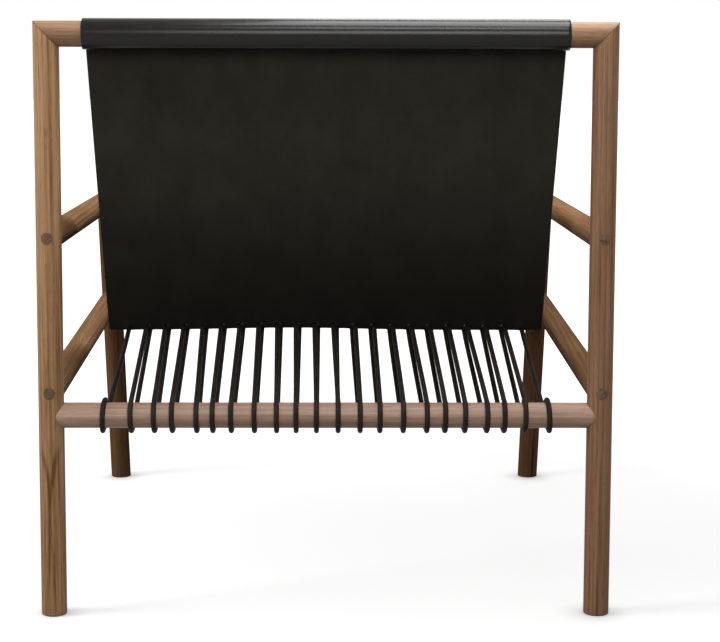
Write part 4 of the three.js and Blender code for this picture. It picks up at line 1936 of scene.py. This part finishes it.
    def map_braid(self, mesh: bpy.types.Mesh, lengths: Sequence[float]) -> None:
        """Writes each corner's place round the cord and along it, for the braid's yarns.

        Args:
            mesh: the cord's mesh.
            lengths: the distance along the cord of the first tip, of each ring and of the last tip.
        """
        layer = mesh.uv_layers.new(name=self.finish.uv_map)
        final = len(mesh.vertices) - 1
        for face in mesh.polygons:
            numbers = [mesh.loops[loop].vertex_index for loop in face.loop_indices]
            turns = [(number - 1) % self.sides for number in numbers]
            crosses_seam = max(turns) - min(turns) > self.sides / 2
            for loop, number, turn in zip(face.loop_indices, numbers, turns):
                if crosses_seam and turn == 0:
                    turn = self.sides
                if number == final:
                    ring = len(lengths) - 1
                else:
                    ring = 0 if number == 0 else 1 + (number - 1) // self.sides
                layer.data[loop].uv = (turn / self.sides, lengths[ring])


def eased(value: float, low: float, high: float) -> float:
    """A number that goes smoothly from 0 at a low value to 1 at a high one."""
    share = min(max((value - low) / (high - low), 0.0), 1.0)
    return share * share * (3 - 2 * share)


def cut_kerfs(frame: WoodFrame, sling: Sling) -> None:
    """Saws the kerfs for the leather's ends into the top rail and the front rail.

    Args:
        frame: the wooden frame, with its rails built.
        sling: the leather, which gives the kerfs' sizes.
    """
    sizes = sling.sizes
    spline_thickness = 0.0025
    near = sling.thickness / 2 + sizes.joint_gap
    far = near + spline_thickness + sizes.joint_gap
    end_room = 0.001
    half_length = sling.width / 2 + end_room
    floor, outside = sizes.radius - sling.kerf_depth, 2 * sizes.radius
    section = ((floor, -near), (floor, far), (outside, far), (outside, -near))
    for node, centre, angle, spline_side in (
        ("top_rail", (sizes.post_y, sizes.top_height), sling.top_kerf_angle, 1),
        ("front_rail", sizes.front_rail, sling.front_kerf_angle, -1),
    ):
        outward = direction(angle)
        across = direction(angle + math.pi / 2) * spline_side
        points = []
        for x in (-half_length, half_length):
            for depth, side in section:
                place = np.array(centre) + outward * depth + across * side
                points.append([x, place[0], place[1]])
        faces = [[0, 1, 2, 3], [7, 6, 5, 4], [0, 4, 5, 1], [1, 5, 6, 2], [2, 6, 7, 3], [3, 7, 4, 0]]
        cutter = placed_mesh(f"kerf_{node}", points, faces)
        straighten(cutter.data)
        cut_away(frame.pieces[node], cutter)
        remove(cutter)


def dress_hidden_joinery(nodes: dict[str, bpy.types.Object]) -> None:
    """Gives the pins and splines inside the joints their own wood.

    Args:
        nodes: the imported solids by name.
    """
    along = {
        "arm_corner_pin": GrainAxis.Y,
        "top_corner_pin": GrainAxis.X,
        "rear_rail_pin": GrainAxis.X,
        "front_rail_pin": GrainAxis.X,
    }
    for prefix, axis in along.items():
        finish = Walnut(axis=axis, ring_width=PIN_RING_WIDTH, seed=float(len(prefix)))
        material = finish.material(f"wood_{prefix}")
        for label in SIDES:
            set_materials(nodes[f"{prefix}_{label}"], [material])
    strip = Walnut(axis=GrainAxis.X, ring_width=0.004, seed=21.0).material("wood_spline")
    for node in ("top_spline", "front_spline"):
        set_materials(nodes[node], [strip])
    LOG.info("hidden pins and splines have their wood")


@dataclass(frozen=True)
class Softbox:
    """A rectangular lamp that points at a place on the chair."""

    name: str
    place: tuple[float, float, float]
    aim: tuple[float, float, float]
    size: tuple[float, float]
    power: float
    lights_floor: bool = False

    def build(self) -> bpy.types.Object:
        """Adds the lamp to the scene.

        Returns:
            The lamp, pointed at its aim.
        """
        lamp = bpy.data.lights.new(self.name, "AREA")
        lamp.shape = "RECTANGLE"
        lamp.size, lamp.size_y = self.size
        lamp.energy = self.power
        made = bpy.data.objects.new(self.name, lamp)
        bpy.context.scene.collection.objects.link(made)
        made.location = self.place
        made.rotation_euler = (Vector(self.aim) - Vector(self.place)).to_track_quat("-Z", "Y").to_euler()
        made.visible_camera = False
        return made


@dataclass(frozen=True)
class Studio:
    """The white ground, the lamps and the camera behind the chair."""

    camera_place: tuple[float, float, float] = (-0.00664, -2.51644, 0.69534)
    yaw: float = math.radians(0.635)
    pitch: float = math.radians(6.114)
    roll: float = math.radians(0.141)
    lens: float = 86.883
    sensor_width: float = 36.0
    shift: tuple[float, float] = (0.0278, -0.1)
    ambient: float = 0.28
    floor_shown: Colour = screen_colour(242, 242, 242)
    floor_bounce: Colour = screen_colour(177, 174, 170)
    floor_roughness: float = 0.9
    floor_glow: float = 0.7
    glow_from: float = 0.6
    glow_full: float = 1.2
    painted_contact_shadow_reach: float = 0.035
    floor_size: float = 60.0
    lamps: tuple[Softbox, ...] = (
        Softbox("overhead_softbox", (0.27, -0.42, 1.75), (0.14, -0.4, 0.7), (0.85, 0.8), 25.0),
        Softbox("high_strip", (0.26, -1.75, 2.25), (0.14, -0.4, 0.7), (0.8, 0.44), 15.0),
        Softbox("rear_softbox", (0.25, -3.1, 1.45), (0.0, -0.3, 0.5), (1.3, 0.9), 33.0),
        Softbox("front_softbox", (0.5, 1.9, 2.7), (0.0, 0.0, 0.4), (1.2, 0.7), 17.0),
        Softbox("left_softbox", (-2.4, -0.75, 0.95), (0.0, 0.0, 0.2), (1.1, 0.6), 34.0, lights_floor=True),
    )

    def build(self) -> None:
        """Makes the camera, the lamps, the world and the floor."""
        self.make_camera()
        self.make_world()
        floor = self.make_floor()
        apart = self.set_apart(floor)
        for lamp in self.lamps:
            made = lamp.build()
            if not lamp.lights_floor:
                made.light_linking.receiver_collection = apart
        bpy.context.scene.view_settings.view_transform = "Standard"
        LOG.info("studio is set")

    def make_camera(self) -> None:
        """Places the camera where the photograph was taken from."""
        ahead = Vector((
            math.sin(self.yaw) * math.cos(self.pitch), math.cos(self.yaw) * math.cos(self.pitch),
            -math.sin(self.pitch)))
        level = Vector((math.cos(self.yaw), -math.sin(self.yaw), 0))
        upright = level.cross(ahead)
        right = level * math.cos(self.roll) + upright * math.sin(self.roll)
        up = right.cross(ahead)
        lens = bpy.data.cameras.new("rear_view")
        lens.sensor_width = self.sensor_width
        lens.lens = self.lens
        lens.shift_x, lens.shift_y = self.shift
        camera = bpy.data.objects.new("rear_view", lens)
        bpy.context.scene.collection.objects.link(camera)
        turned = Matrix((right, up, -ahead)).transposed().to_4x4()
        camera.matrix_world = Matrix.Translation(self.camera_place) @ turned
        bpy.context.scene.camera = camera

    @staticmethod
    def shown_directly(tree: bpy.types.NodeTree) -> Socket:
        """Tells apart what the camera sees from what only lights the chair.

        Args:
            tree: the nodes that the answer is used in.

        Returns:
            1 for what the camera sees, also through gloss and glass, and 0 for soft light.
        """
        path = tree.nodes.new("ShaderNodeLightPath")
        total = path.outputs["Is Camera Ray"]
        for name in ("Is Glossy Ray", "Is Transmission Ray"):
            either = tree.nodes.new("ShaderNodeMath")
            either.operation = "MAXIMUM"
            tree.links.new(total, either.inputs[0])
            tree.links.new(path.outputs[name], either.inputs[1])
            total = either.outputs["Value"]
        return total

    def make_world(self) -> None:
        """A white surround that lights the chair softly."""
        world = bpy.data.worlds.new("white_surround")
        bpy.context.scene.world = world
        world.use_nodes = True
        tree = world.node_tree
        tree.nodes.clear()
        soft = tree.nodes.new("ShaderNodeBackground")
        soft.inputs["Strength"].default_value = self.ambient
        shown = tree.nodes.new("ShaderNodeBackground")
        for background in (soft, shown):
            background.inputs["Color"].default_value = (1.0, 1.0, 1.0, 1.0)
        mix = tree.nodes.new("ShaderNodeMixShader")
        tree.links.new(self.shown_directly(tree), mix.inputs["Fac"])
        tree.links.new(soft.outputs["Background"], mix.inputs[1])
        tree.links.new(shown.outputs["Background"], mix.inputs[2])
        output = tree.nodes.new("ShaderNodeOutputWorld")
        tree.links.new(mix.outputs["Shader"], output.inputs["Surface"])

    @staticmethod
    def set_apart(floor: bpy.types.Object) -> bpy.types.Collection:
        """The group of what most lamps leave out, so that the side lamp's shadow is the one on the floor.

        Args:
            floor: the floor under the chair.

        Returns:
            The group, to be set on the lamps that pass the floor by.
        """
        apart = bpy.data.collections.new("floor_apart")
        apart.objects.link(floor)
        apart.collection_objects[0].light_linking.link_state = "EXCLUDE"
        return apart

    def make_floor(self) -> bpy.types.Object:
        """A pale floor that shows white, with the chair's shadow left faint on it and a painted contact shadow
        at the feet, where its glow dims with occlusion.

        Returns:
            The floor, marked as stage.
        """
        half = self.floor_size / 2
        corners = [[-half, -half, 0], [half, -half, 0], [half, half, 0], [-half, half, 0]]
        floor = placed_mesh("pale_floor", corners, [[0, 1, 2, 3]])
        board = Surface("pale_floor")
        shown = self.shown_directly(board.tree)
        colour = board.ramp(shown, ((0.0, self.floor_bounce), (1.0, self.floor_shown)))
        board.set(Base_Color=colour, Roughness=self.floor_roughness, Specular_IOR_Level=0.0)
        reach = board.node("ShaderNodeVectorMath", operation="LENGTH")
        board.join(board.coordinates("Object"), reach.inputs[0])
        glow = board.between(reach.outputs["Value"], self.glow_from, self.glow_full, self.floor_glow, 1.0)
        # Painted contact shadow: the floor's glow is dimmed by occlusion where the feet stand close, not by any
        # lamp.
        painted_contact_shadow = board.node("ShaderNodeAmbientOcclusion")
        painted_contact_shadow.inputs["Distance"].default_value = self.painted_contact_shadow_reach
        glow = board.math("MULTIPLY", glow, painted_contact_shadow.outputs["AO"])
        lamp = board.node("ShaderNodeEmission")
        board.join(board.math("MULTIPLY", shown, glow), lamp.inputs["Strength"])
        both = board.node("ShaderNodeAddShader")
        board.join(board.shader.outputs["BSDF"], both.inputs[0])
        board.join(lamp.outputs["Emission"], both.inputs[1])
        board.join(both.outputs["Shader"], board.output.inputs["Surface"])
        floor.data.materials.append(board.material)
        return floor


def main() -> None:
    """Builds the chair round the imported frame, piece by piece."""
    logging.basicConfig(level=logging.INFO, format="%(name)s: %(message)s")
    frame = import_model()
    sizes = FrameSizes.measured(frame["record"])
    Studio().build()
    wood = WoodFrame(sizes)
    wood.build()
    sling = Sling(sizes)
    cut_kerfs(wood, sling)
    sling.build()
    Lacing(sizes, sling).build()
    dress_hidden_joinery(frame["nodes"])


if __name__ == "__main__":
    main()
